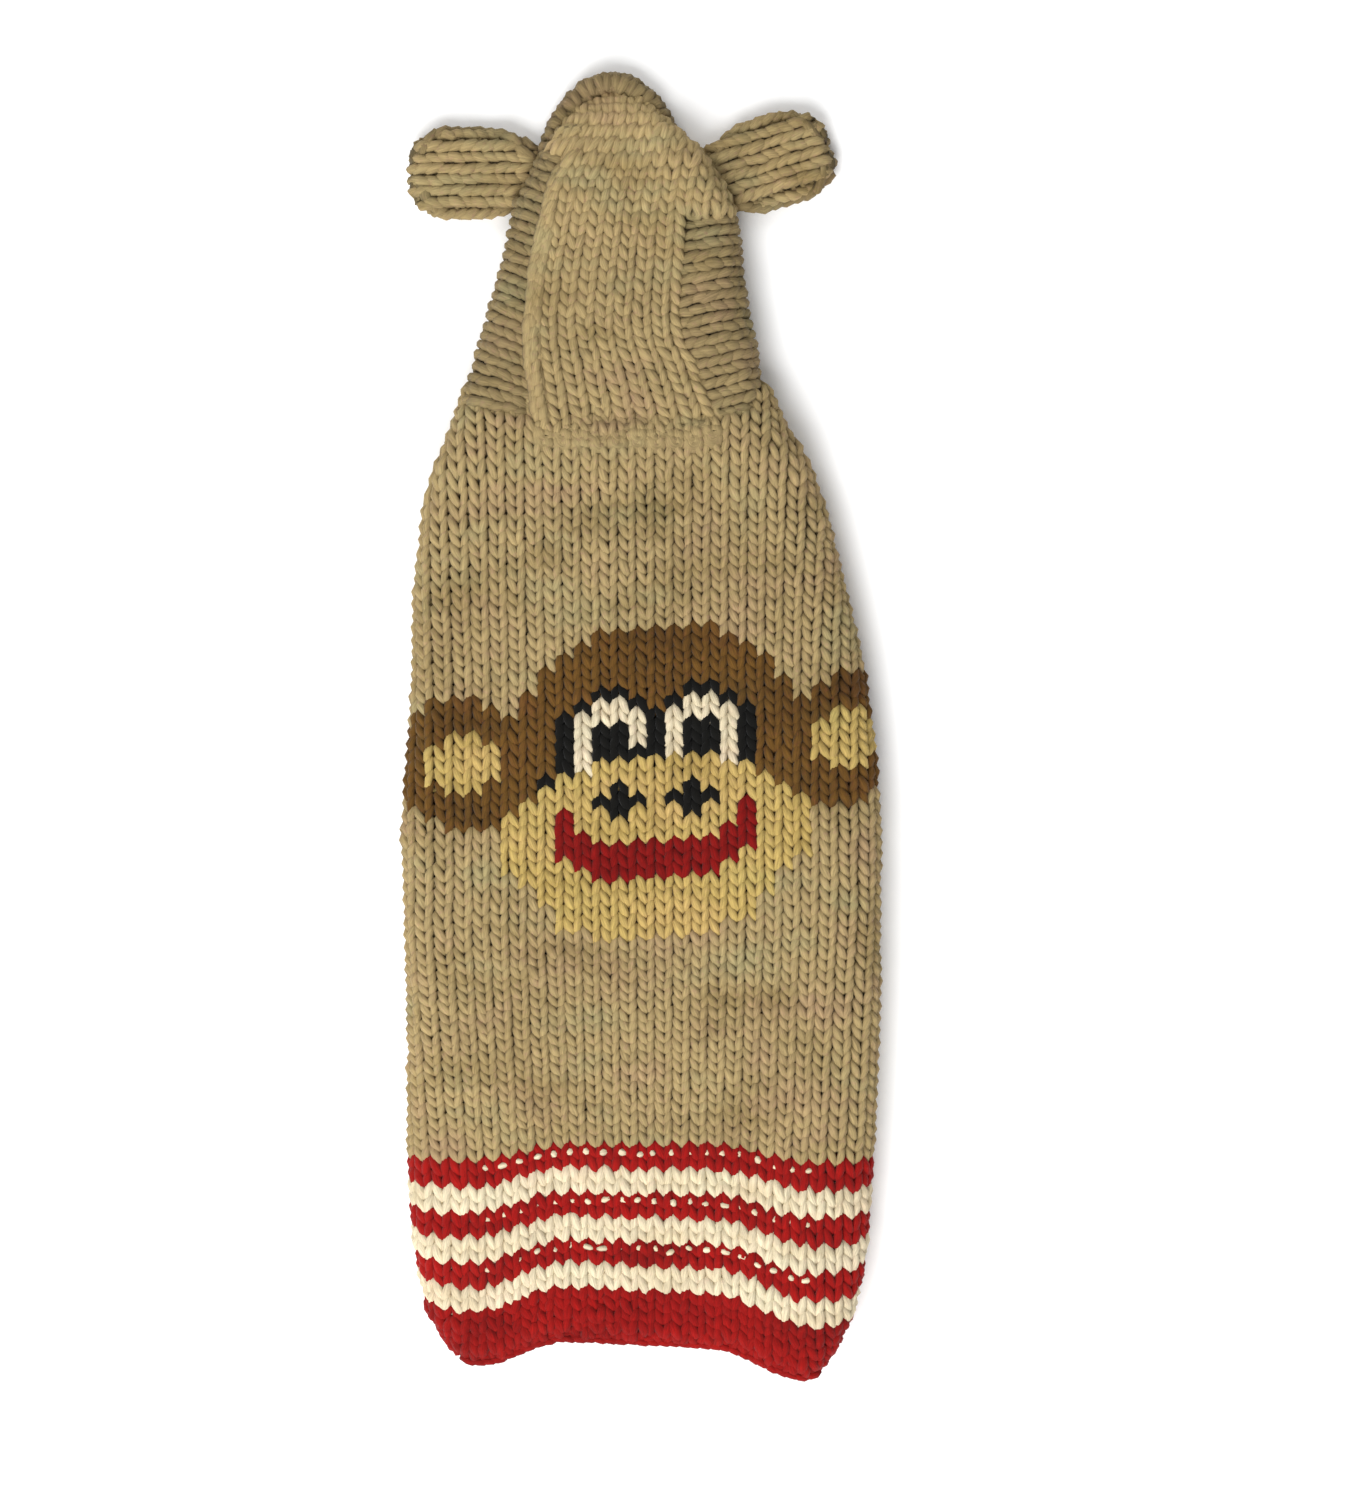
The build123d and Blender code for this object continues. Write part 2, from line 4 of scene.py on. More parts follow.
import bpy
import numpy as np
from mathutils import Vector
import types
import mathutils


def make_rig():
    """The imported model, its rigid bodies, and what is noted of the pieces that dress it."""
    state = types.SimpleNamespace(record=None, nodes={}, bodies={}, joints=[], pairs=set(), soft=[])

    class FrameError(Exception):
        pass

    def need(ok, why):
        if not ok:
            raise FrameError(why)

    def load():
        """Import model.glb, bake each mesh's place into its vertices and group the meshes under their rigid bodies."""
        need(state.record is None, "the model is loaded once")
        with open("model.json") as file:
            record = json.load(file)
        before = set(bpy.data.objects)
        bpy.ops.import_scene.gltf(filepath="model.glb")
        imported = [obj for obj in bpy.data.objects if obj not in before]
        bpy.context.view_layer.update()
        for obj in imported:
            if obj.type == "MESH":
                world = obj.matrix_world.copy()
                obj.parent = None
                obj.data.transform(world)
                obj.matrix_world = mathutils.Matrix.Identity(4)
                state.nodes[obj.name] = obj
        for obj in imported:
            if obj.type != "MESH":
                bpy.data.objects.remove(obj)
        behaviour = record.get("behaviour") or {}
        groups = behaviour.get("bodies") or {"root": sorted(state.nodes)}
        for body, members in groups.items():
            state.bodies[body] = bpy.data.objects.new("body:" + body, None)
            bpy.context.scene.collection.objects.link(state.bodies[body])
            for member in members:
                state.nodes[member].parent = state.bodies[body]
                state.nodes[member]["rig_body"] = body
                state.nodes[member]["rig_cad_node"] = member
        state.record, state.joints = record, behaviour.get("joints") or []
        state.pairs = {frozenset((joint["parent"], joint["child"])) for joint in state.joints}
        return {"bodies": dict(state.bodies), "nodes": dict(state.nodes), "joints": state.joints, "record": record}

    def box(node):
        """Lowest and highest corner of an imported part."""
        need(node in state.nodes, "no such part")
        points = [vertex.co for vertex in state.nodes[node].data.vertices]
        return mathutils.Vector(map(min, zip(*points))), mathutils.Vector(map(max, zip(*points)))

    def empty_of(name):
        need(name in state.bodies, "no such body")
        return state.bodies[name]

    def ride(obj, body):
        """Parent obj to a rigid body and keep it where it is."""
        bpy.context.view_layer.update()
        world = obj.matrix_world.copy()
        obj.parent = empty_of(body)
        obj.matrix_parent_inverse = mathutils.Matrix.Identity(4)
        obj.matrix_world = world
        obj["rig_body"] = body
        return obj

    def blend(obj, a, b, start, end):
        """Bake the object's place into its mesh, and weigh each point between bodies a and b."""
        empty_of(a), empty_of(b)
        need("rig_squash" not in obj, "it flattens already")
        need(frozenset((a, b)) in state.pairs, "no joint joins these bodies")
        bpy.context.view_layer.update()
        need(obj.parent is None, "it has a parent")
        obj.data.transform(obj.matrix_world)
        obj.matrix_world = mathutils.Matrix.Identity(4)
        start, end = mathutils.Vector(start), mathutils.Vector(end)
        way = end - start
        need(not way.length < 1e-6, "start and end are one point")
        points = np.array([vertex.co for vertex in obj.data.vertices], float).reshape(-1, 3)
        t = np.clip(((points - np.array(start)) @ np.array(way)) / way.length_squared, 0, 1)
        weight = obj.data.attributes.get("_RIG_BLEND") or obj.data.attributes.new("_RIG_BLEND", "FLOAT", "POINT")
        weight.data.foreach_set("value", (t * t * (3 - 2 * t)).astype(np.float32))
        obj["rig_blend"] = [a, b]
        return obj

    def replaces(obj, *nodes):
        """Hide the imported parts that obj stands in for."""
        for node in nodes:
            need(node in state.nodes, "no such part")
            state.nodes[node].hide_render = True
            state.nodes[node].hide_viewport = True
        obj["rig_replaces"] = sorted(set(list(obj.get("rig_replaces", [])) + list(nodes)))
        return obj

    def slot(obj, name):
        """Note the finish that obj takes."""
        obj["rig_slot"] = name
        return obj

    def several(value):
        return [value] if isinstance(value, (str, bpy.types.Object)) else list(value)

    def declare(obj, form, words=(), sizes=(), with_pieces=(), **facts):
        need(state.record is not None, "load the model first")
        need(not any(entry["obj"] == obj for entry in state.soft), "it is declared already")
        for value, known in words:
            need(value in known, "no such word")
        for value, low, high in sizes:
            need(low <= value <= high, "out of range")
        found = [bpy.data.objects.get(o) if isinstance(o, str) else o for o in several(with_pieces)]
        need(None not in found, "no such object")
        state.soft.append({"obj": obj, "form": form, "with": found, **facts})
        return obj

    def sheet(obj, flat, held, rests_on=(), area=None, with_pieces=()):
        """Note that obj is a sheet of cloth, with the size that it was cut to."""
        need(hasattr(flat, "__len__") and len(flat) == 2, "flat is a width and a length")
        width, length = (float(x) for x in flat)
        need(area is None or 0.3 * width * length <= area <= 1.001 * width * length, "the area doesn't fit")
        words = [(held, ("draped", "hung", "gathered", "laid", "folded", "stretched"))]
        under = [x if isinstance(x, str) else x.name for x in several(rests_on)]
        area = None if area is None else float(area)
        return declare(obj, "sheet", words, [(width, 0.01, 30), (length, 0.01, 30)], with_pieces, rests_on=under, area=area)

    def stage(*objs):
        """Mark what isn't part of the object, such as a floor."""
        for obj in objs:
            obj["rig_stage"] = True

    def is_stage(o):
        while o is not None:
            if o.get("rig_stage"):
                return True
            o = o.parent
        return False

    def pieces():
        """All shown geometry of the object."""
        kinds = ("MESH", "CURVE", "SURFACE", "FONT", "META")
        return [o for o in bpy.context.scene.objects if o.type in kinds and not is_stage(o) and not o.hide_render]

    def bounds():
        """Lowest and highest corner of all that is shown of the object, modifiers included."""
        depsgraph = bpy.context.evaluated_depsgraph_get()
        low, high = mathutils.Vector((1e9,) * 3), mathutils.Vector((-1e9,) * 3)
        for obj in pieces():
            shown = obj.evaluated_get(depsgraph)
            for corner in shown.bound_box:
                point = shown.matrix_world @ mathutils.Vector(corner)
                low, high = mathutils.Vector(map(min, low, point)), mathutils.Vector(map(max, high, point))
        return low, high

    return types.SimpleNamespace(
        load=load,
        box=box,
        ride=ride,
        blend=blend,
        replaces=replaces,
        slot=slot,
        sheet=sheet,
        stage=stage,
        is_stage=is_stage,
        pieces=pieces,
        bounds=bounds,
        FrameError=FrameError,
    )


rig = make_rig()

for leftover in list(bpy.data.objects):
    bpy.data.objects.remove(leftover)
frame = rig.load()
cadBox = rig.bounds()
mm = 0.001
rng = np.random.default_rng(7)

# Where things are, from the frame, in millimetres
bandLow, bandHigh = np.array(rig.box("hood_edge_band")) / mm
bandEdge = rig.box("belly_band")[0][1] / mm
backLow, backHigh = np.array(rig.box("back_panel")) / mm
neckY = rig.box("neck_seam")[1][1] / mm
bodyTop = backHigh[2]
halfWidth = (backHigh[0] - backLow[0]) / 2
backLength = 382.0
hinges = {joint["name"]: joint for joint in frame["record"]["behaviour"]["joints"]}
print("frame read")

# Wool, each colour with its warmer, cooler and darker heather
wools = {
    "oatmeal": {"hex": "ae986a", "warm": "ae8a70", "cool": "9c9d74", "dark": "857043"},
    "brown": {"hex": "6a4a1c", "warm": "6f4228", "cool": "5c4a26", "dark": "442c10"},
    "cream": {"hex": "c2a762", "warm": "c4a06c", "cool": "b5aa66", "dark": "a08544"},
    "white": {"hex": "e8d9b8", "warm": "ecd0b6", "cool": "dcd9b8", "dark": "cdb78e"},
    "red": {"hex": "9c0e0a", "warm": "a81c16", "cool": "8a0c0e", "dark": "6a0806"},
    "black": {"hex": "0d0c09", "warm": "110e0b", "cool": "0b0c09", "dark": "070605"},
}
woolLook = {
    "patchMm": (38.0, 20.0),  # the heather's soft colour patches, along and across the courses
    "fleckMm": 2.2,         # single tinted flecks
    "fibreMm": 0.55,        # fibres, drawn coarser than real ones so that they show
    "bumpMm": 0.35,
    "roughness": 0.93,
    "specular": 0.15,
    "sheen": 0.05,
    "sheenRoughness": 0.5,
    "ior": 1.54,            # keratin fibre
}


def toLinear(hexText):
    channels = [int(hexText[i:i + 2], 16) / 255 for i in (0, 2, 4)]
    return [c / 12.92 if c <= 0.04045 else ((c + 0.055) / 1.055) ** 2.4 for c in channels] + [1.0]


def addNode(tree, kind, settings=None, **inputs):
    node = tree.nodes.new(kind)
    for key, value in (settings or {}).items():
        setattr(node, key, value)
    for key, value in inputs.items():
        numbered = key[0] == "i" and key[1:].isdigit()
        socket = node.inputs[int(key[1:])] if numbered else node.inputs[key.replace("_", " ")]
        if isinstance(value, bpy.types.NodeSocket):
            tree.links.new(value, socket)
        else:
            socket.default_value = value
    return node


def spread(tree, value, given, wanted):
    node = addNode(tree, "ShaderNodeMapRange", i0=value, i1=given[0], i2=given[1], i3=wanted[0], i4=wanted[1])
    return node.outputs["Result"]


def makeWool(name):
    colours = wools[name]
    material = bpy.data.materials.new(f"{name}_wool_hand_knitted")  # matt, hairy, scatters light at its rim
    material.use_nodes = True
    tree = material.node_tree
    shader = tree.nodes["Principled BSDF"]
    place = addNode(tree, "ShaderNodeTexCoord")
    way = addNode(tree, "ShaderNodeUVMap", {"uv_map": "yarnWay"})
    # the tone attribute holds each stitch's random tone together with its painted shade and painted light
    tone = addNode(tree, "ShaderNodeAttribute", {"attribute_name": "tone"})
    wide, high = woolLook["patchMm"]
    laid = addNode(tree, "ShaderNodeMapping", Vector=place.outputs["Object"],
                   Scale=(1000 / wide, 1000 / high, 1000 / high))
    patches = addNode(tree, "ShaderNodeTexNoise", {"noise_dimensions": "4D"}, Vector=laid.outputs["Vector"],
                      W=1.7, Scale=1.0, Detail=3.0, Roughness=0.62)
    hues = addNode(tree, "ShaderNodeTexNoise", {"noise_dimensions": "4D"}, Vector=laid.outputs["Vector"],
                   W=8.3, Scale=1.1, Detail=2.5, Roughness=0.6)
    flecks = addNode(tree, "ShaderNodeTexNoise", Vector=place.outputs["Object"],
                     Scale=1000 / woolLook["fleckMm"], Detail=2.0, Roughness=0.7)
    stretch = addNode(tree, "ShaderNodeMapping", Vector=way.outputs["UV"], Scale=(0.12, 1.0, 1.0))
    fibres = addNode(tree, "ShaderNodeTexNoise", Vector=stretch.outputs["Vector"],
                     Scale=1 / woolLook["fibreMm"], Detail=4.0, Roughness=0.65, Distortion=0.4)
    warmth = spread(tree, hues.outputs["Fac"], (0.53, 0.70), (0.0, 0.38))
    coolness = spread(tree, hues.outputs["Fac"], (0.47, 0.30), (0.0, 0.38))
    depth = spread(tree, patches.outputs["Fac"], (0.50, 0.30), (0.0, 0.6))
    fleckMask = spread(tree, flecks.outputs["Fac"], (0.55, 0.75), (0.0, 0.55))
    warmed = addNode(tree, "ShaderNodeMix", {"data_type": "RGBA"}, i0=warmth,
                     i6=toLinear(colours["hex"]), i7=toLinear(colours["warm"]))
    cooled = addNode(tree, "ShaderNodeMix", {"data_type": "RGBA"}, i0=coolness,
                     i6=warmed.outputs[2], i7=toLinear(colours["cool"]))
    deepened = addNode(tree, "ShaderNodeMix", {"data_type": "RGBA"}, i0=depth,
                       i6=cooled.outputs[2], i7=toLinear(colours["dark"]))
    tinted = addNode(tree, "ShaderNodeMix", {"data_type": "RGBA"}, i0=fleckMask,
                     i6=deepened.outputs[2], i7=toLinear(colours["warm"]))
    streak = spread(tree, fibres.outputs["Fac"], (0.3, 0.7), (0.66, 1.2))
    lift = addNode(tree, "ShaderNodeMath", {"operation": "MULTIPLY"}, i0=streak,
                   i1=tone.outputs["Fac"])
    final = addNode(tree, "ShaderNodeVectorMath", {"operation": "SCALE"}, i0=tinted.outputs[2],
                    Scale=lift.outputs["Value"])
    bump = addNode(tree, "ShaderNodeBump", Height=fibres.outputs["Fac"], Strength=0.9,
                   Distance=woolLook["bumpMm"] * mm)
    tree.links.new(final.outputs["Vector"], shader.inputs["Base Color"])
    tree.links.new(bump.outputs["Normal"], shader.inputs["Normal"])
    shader.inputs["Roughness"].default_value = woolLook["roughness"]
    shader.inputs["IOR"].default_value = woolLook["ior"]
    shader.inputs["Specular IOR Level"].default_value = woolLook["specular"]
    shader.inputs["Sheen Weight"].default_value = woolLook["sheen"]
    shader.inputs["Sheen Roughness"].default_value = woolLook["sheenRoughness"]
    return material


wool = {name: makeWool(name) for name in wools}
print("wool made")


# A soft step from 0 to 1
def ease(share):
    share = np.clip(share, 0.0, 1.0)
    return share * share * (3 - 2 * share)


# Half widths of the body down its length: share of the length, share of the half width
bodyShape = {
    "left": (
        (-0.05, 0.74), (0.0, 0.80), (0.04, 0.865), (0.09, 0.915), (0.18, 0.95), (0.30, 0.96), (0.44, 1.0),
        (0.66, 0.972), (0.82, 0.972), (0.90, 0.955), (0.95, 0.93), (0.985, 0.9), (1.015, 0.84), (1.05, 0.74),
    ),
    "right": (
        (-0.05, 0.54), (0.0, 0.62), (0.04, 0.715), (0.09, 0.775), (0.18, 0.86), (0.27, 0.935), (0.36, 0.98),
        (0.44, 1.0), (0.66, 0.992), (0.82, 0.968), (0.90, 0.945), (0.95, 0.925), (0.99, 0.895),
        (1.025, 0.83), (1.06, 0.74),
    ),
}
bodySet = {
    "wall": 7.2, "sideRound": 23.0, "motifShift": 6.0, "motifTilt": 0.07, "hemTilt": -0.05, "hemBow": 10.5,
    "sideWrap": 22.0, "seamTuck": 4.0, "rollRow": 79.0, "rollRadius": 4.2, "rollTurn": 2.6,
    "shoulderRise": 9.0, "collarTuck": 3.5,
}
# Rows and their height, from the neck seam down: plain, face, plain, stripes, hem
zones = ((23, 4.78), (21, 5.04), (19, 4.32), (12, 5.09), (6, 4.62))
# A wale's width at some of the rows
waleRows = ((-4, 7.9), (14, 7.75), (20, 7.66), (42, 7.66), (58, 7.3), (66, 7.1), (82, 7.0))


def rowY(row):
    y = np.full(np.shape(row), neckY, float) - np.minimum(row, 0) * zones[0][1]
    rest = np.array(row, float)
    for count, height in zones:
        y = y - np.clip(rest, 0, count) * height
        rest = rest - count
    return y


def between(table, at):
    return np.interp(at, [a for a, _ in table], [b for _, b in table])


def courseY(row, x):
    tilt = bodySet["motifTilt"] * ease(row / 17) * (1 - ease((row - 44) / 19))
    tilt = tilt + bodySet["hemTilt"] * ease((row - 60) / 20)
    rise = bodySet["shoulderRise"] / 50 * np.maximum(np.abs(x + 8) - 28, 0.0) * (1 - ease(row / 9))
    bow = bodySet["hemBow"] * (ease((row - 44) / 31) + 0.2 * ease((row - 64) / 15))
    outer = ease((np.abs(x) / halfWidth - 0.3) / 0.4)
    return rowY(row) + rise + tilt * (x - bodySet["motifShift"]) - bow * outer


# The length round a quarter of the tube's elliptic side
def quarterRound(sideRound, half):
    return math.pi / 4 * (sideRound + half) * 1.01


# Across a flattened tube: flat top, elliptic side, flat underside, for a length s from the middle line
def acrossTube(s, reach, half, sideRound):
    flat = np.maximum(reach - sideRound, 1.0)
    quarter = quarterRound(sideRound, half)
    turned = np.clip((s - flat) / quarter, 0.0, 2.0)
    uneven = (sideRound - half) / (2 * sideRound)  # keeps the wales evenly wide round the ellipse
    theta = math.pi / 2 * (turned - uneven * np.sin(math.pi * turned) / math.pi)
    under = np.maximum(s - flat - 2 * quarter, 0.0)
    x = np.where(s < flat, s, flat + sideRound * np.sin(theta) - under)
    z = np.where(s < flat, half, half * np.cos(theta))
    nx = np.where(s < flat, 0.0, np.sin(theta) / sideRound)
    nz = np.where(s < flat, 1.0, np.cos(theta) / half)
    size = np.hypot(nx, nz)
    return x, z, nx / size, nz / size


# How the back rises and dips, with a ridge at the neck
def swell(x, y):
    broad = 0.9 * np.sin(x / 31 + 0.8) * np.sin(y / 43 + 0.3)
    fine = 0.6 * np.sin(x / 17 + y / 29) * np.sin(y / 23 - 1.0)
    ridge = 1.6 * np.exp(-((y - neckY + 10) / 10) ** 2) - 2.2 * np.exp(-((y - neckY + 31) / 11) ** 2)
    return broad + fine + ridge


def bodyReach(y, side):
    return halfWidth * between(bodyShape[side], (neckY - y) / backLength)


def bodySurface(u, v, h):
    pitch = between(waleRows, v)
    s = bodySet["motifShift"] + u * pitch
    guess = np.clip(s, -halfWidth, halfWidth)
    y = courseY(v, guess)
    half = bodyTop / 2 - bodySet["wall"] / 2
    left = acrossTube(-s, bodyReach(y, "left") - bodySet["wall"] / 2, half, bodySet["sideRound"])
    right = acrossTube(s, bodyReach(y, "right") - bodySet["wall"] / 2, half, bodySet["sideRound"])
    x = np.where(s < 0, -left[0], right[0])
    z = np.where(s < 0, left[1], right[1])
    nx = np.where(s < 0, -left[2], right[2])
    nz = np.where(s < 0, left[3], right[3])
    top = ease((z + half) / (2 * half))
    # the collar lies under the hood's edge
    tucked = bodySet["collarTuck"] * ease((y - courseY(np.zeros_like(y), guess)) / 6)
    z = z + bodyTop / 2 + (swell(x, y) - tucked) * top
    # the hem's last rows roll under
    short = 1.5 * bodySet["hemBow"] * (1 - top) * ease((v - 58) / 20)
    y = y + short
    turn = np.maximum(v - bodySet["rollRow"], 0.0) * zones[-1][1] / bodySet["rollRadius"]
    turned = np.minimum(turn, bodySet["rollTurn"])
    inward = np.where(nz >= 0, -1.0, 1.0)
    rolled = bodySet["rollRadius"] * np.sin(turned)
    drop = bodySet["rollRadius"] * (1 - np.cos(turned))
    edge = courseY(np.full_like(v, bodySet["rollRow"]), guess) + short
    y = np.where(turn > 0, edge - rolled, y)
    ny = np.where(turn > 0, -np.sin(turned), 0.0)
    nz = np.where(turn > 0, nz * np.cos(turned), nz)
    z = z + inward * drop * (turn > 0) * np.abs(z - bodyTop / 2) / half
    return np.stack([x + nx * h, y + ny * h, z + nz * h], axis=-1)


# The first and last wale of a row, from one side seam round to the other
def bodySpan(v):
    y = courseY(v, 0.0)
    half = bodyTop / 2 - bodySet["wall"] / 2
    quarter = quarterRound(bodySet["sideRound"], half)
    under = bodySet["sideWrap"] + bodySet["seamTuck"] - bodySet["sideRound"]
    ends = []
    for side, sign in (("left", -1), ("right", 1)):
        reach = float(bodyReach(y, side)) - bodySet["wall"] / 2
        s = reach - bodySet["sideRound"] + 2 * quarter + under
        ends.append((sign * s - bodySet["motifShift"]) / float(between(waleRows, v)))
    return math.ceil(ends[0] + 0.2), math.floor(ends[1] - 0.2)


# Yarn: the stitches' shape, which each piece may change
stitchSet = {
    "lean": 0.235, "reach": 1.03, "depthMm": 2.0, "yarnMm": 1.56, "plump": 0.2, "taper": 0.12, "bias": 0.08,
    "wander": 0.06, "seat": 0.5, "raise": 0.0, "points": 12, "sides": 8, "tone": 0.85,
    # painted light can be set by row, as the crown's highlight is
    "rowTones": ((0, 1), (1, 1)),  # tone by row: the rows, and the tone at each
    # painted shade: the yarn is drawn darker where it dives behind its neighbours
    "sunk": 0.14,  # how much darker the yarn is where it dives behind its neighbours
    "toneWander": 0.05,
}
bakeGap = 0.04  # left free between two yarns' bands
yarnShift = 17.3  # so that neighbouring yarns don't share their fibres


def quadGrid(rows, sides, start):
    i = np.arange(rows - 1)[:, None] * sides
    j = np.arange(sides)[None, :]
    k = (j + 1) % sides
    return np.stack([i + j, i + k, i + sides + k, i + sides + j], axis=-1).reshape(-1, 4) + start


def tubeAlong(line, normal, radius, sides):
    tangent = np.gradient(line, axis=0)
    tangent /= np.linalg.norm(tangent, axis=1, keepdims=True) + 1e-9
    side = np.cross(tangent, normal)
    side /= np.linalg.norm(side, axis=1, keepdims=True) + 1e-9
    up = np.cross(side, tangent)
    angle = np.arange(sides) * 2 * math.pi / sides
    ring = side[:, None] * np.cos(angle)[None, :, None] + up[:, None] * np.sin(angle)[None, :, None]
    return line[:, None] + ring * radius[:, None, None]


def meshFrom(name, points, quads, caps, uvSets, tones, materials, matIndex=None):
    mesh = bpy.data.meshes.new(name)
    mesh.vertices.add(len(points))
    mesh.vertices.foreach_set("co", (np.asarray(points, np.float32) * mm).ravel())
    loops = np.concatenate([quads.ravel()] + [np.asarray(c) for c in caps]).astype(np.int32)
    counts = np.concatenate([np.full(len(quads), 4), [len(c) for c in caps]]).astype(np.int32)
    starts = np.concatenate([[0], np.cumsum(counts)[:-1]]).astype(np.int32)
    mesh.loops.add(len(loops))
    mesh.loops.foreach_set("vertex_index", loops)
    mesh.polygons.add(len(counts))
    mesh.polygons.foreach_set("loop_start", starts)
    mesh.polygons.foreach_set("use_smooth", np.ones(len(counts), bool))
    if matIndex is not None:
        mesh.polygons.foreach_set("material_index", matIndex.astype(np.int32))
    mesh.update(calc_edges=True)
    for uvName, uv in uvSets.items():
        layer = mesh.uv_layers.new(name=uvName)
        layer.data.foreach_set("uv", np.asarray(uv, np.float32).ravel())
    # tone holds random tone of each stitch along with painted shade and painted light
    if tones is not None:
        tone = mesh.attributes.new("tone", "FLOAT", "POINT")
        tone.data.foreach_set("value", np.asarray(tones, np.float32))
    for material in materials:
        mesh.materials.append(material)
    obj = bpy.data.objects.new(name, mesh)
    bpy.context.scene.collection.objects.link(obj)
    return obj


def smoothNoise(count, steps, strength):
    knots = rng.normal(0.0, strength, count + 2)
    return np.interp(np.linspace(0, count + 1, steps), np.arange(count + 2), knots)


# One piece of knitting: each run is (row, first wale, last wale), knitted as one length of yarn
def knit(name, runs, surface, material, **changes):
    look = stitchSet | changes
    sides, perStitch = look["sides"], look["points"]
    allPoints, allQuads, caps, bakeUv, wayUv, tones = [], [], [], [], [], []
    start = 0
    longest = max(last - first + 1 for _, first, last in runs)
    for index, (row, first, last) in enumerate(runs):
        count = last - first + 1
        steps = perStitch * count + 1
        t = np.linspace(0, 2 * math.pi * count, steps)
        loose = look["wander"]
        lean = look["lean"] + smoothNoise(count, steps, 0.4 * loose)
        u = first - 0.5 + t / (2 * math.pi) + lean * np.sin(2 * t) - look["bias"] * np.cos(t)
        u = u + smoothNoise(2 * count, steps, 0.5 * loose)
        v = row + look["seat"] - look["reach"] * np.cos(t) + smoothNoise(2 * count, steps, loose)
        h = look["raise"] - look["depthMm"] * np.cos(2 * t) + smoothNoise(2 * count, steps, 5 * loose)
        radius = look["yarnMm"] * (1 - look["plump"] * np.cos(2 * t) - look["taper"] * np.cos(t))
        radius = radius * (1 + smoothNoise(3 * count, steps, 1.2 * loose))
        radius[[0, -1]] *= 0.35
        line = surface(u, v, h)
        normal = surface(u, v, h + 0.5) - line
        ring = tubeAlong(line, normal, radius, sides)
        allPoints.append(ring.reshape(-1, 3))
        allQuads.append(quadGrid(steps, sides, start))
        caps.append(np.arange(sides)[::-1] + start)
        caps.append(np.arange(sides) + start + (steps - 1) * sides)
        along = np.concatenate([[0], np.cumsum(np.linalg.norm(np.diff(line, axis=0), axis=1))])
        i = np.arange(steps - 1)[:, None] + np.zeros((1, sides), int)
        j = np.zeros((steps - 1, 1), int) + np.arange(sides)[None, :]
        girth = 2 * math.pi * look["yarnMm"] / sides
        bakeAlong = np.arange(steps) / (perStitch * longest + 1)
        bakeAcross = [(index + bakeGap + (1 - 2 * bakeGap) * edge / sides) / len(runs) for edge in (j, j + 1)]
        wayAcross = [edge * girth + index * yarnShift for edge in (j, j + 1)]
        for bank, us, (low, high) in ((bakeUv, bakeAlong, bakeAcross), (wayUv, along, wayAcross)):
            quad = [(us[i], low), (us[i], high), (us[i + 1], high), (us[i + 1], low)]
            bank.append(np.stack([np.stack(corner, axis=-1) for corner in quad], axis=-2).reshape(-1, 2))
        rowTone = look["tone"] * float(np.interp(row, *look["rowTones"]))
        perTone = rowTone * (1 + rng.normal(0, look["toneWander"], 2 * count + 1))
        # painted shade, darkest where the yarn dives behind its neighbours
        diveShading = 1 - look["sunk"] * (1 + np.cos(2 * t))
        tone = np.interp(t / math.pi, np.arange(2 * count + 1), perTone) * diveShading
        # painted shade: the yarn's lower flank is drawn darker than its upper one, as its hairs would shade it
        flankShade = 0.78 + 0.24 * np.sin(np.arange(sides) * 2 * math.pi / sides)
        tones.append((tone[:, None] * flankShade).ravel())
        start += steps * sides
    quads = np.concatenate(allQuads)
    capLoops = sum(len(c) for c in caps)
    uvs = {"OFBake": np.concatenate(bakeUv + [np.tile([[0.001, 0.001]], (capLoops, 1))]),
           "yarnWay": np.concatenate(wayUv + [np.zeros((capLoops, 2))])}
    return meshFrom(name, np.concatenate(allPoints), quads, caps, uvs, np.concatenate(tones), [material])


# Says which nodes a piece stands for, its wool, and the body or bend it follows
def settle(obj, nodes, colour, body, hinge=None):
    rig.replaces(obj, *nodes)
    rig.slot(obj, f"{colour}_wool")
    if hinge:
        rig.blend(obj, hinge[0], body, hinge[1], hinge[2])
    else:
        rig.ride(obj, body)
    return obj


# painted shade: the web is nearly black, for the shade that fills the gaps between the stitches
webShade = 0.14


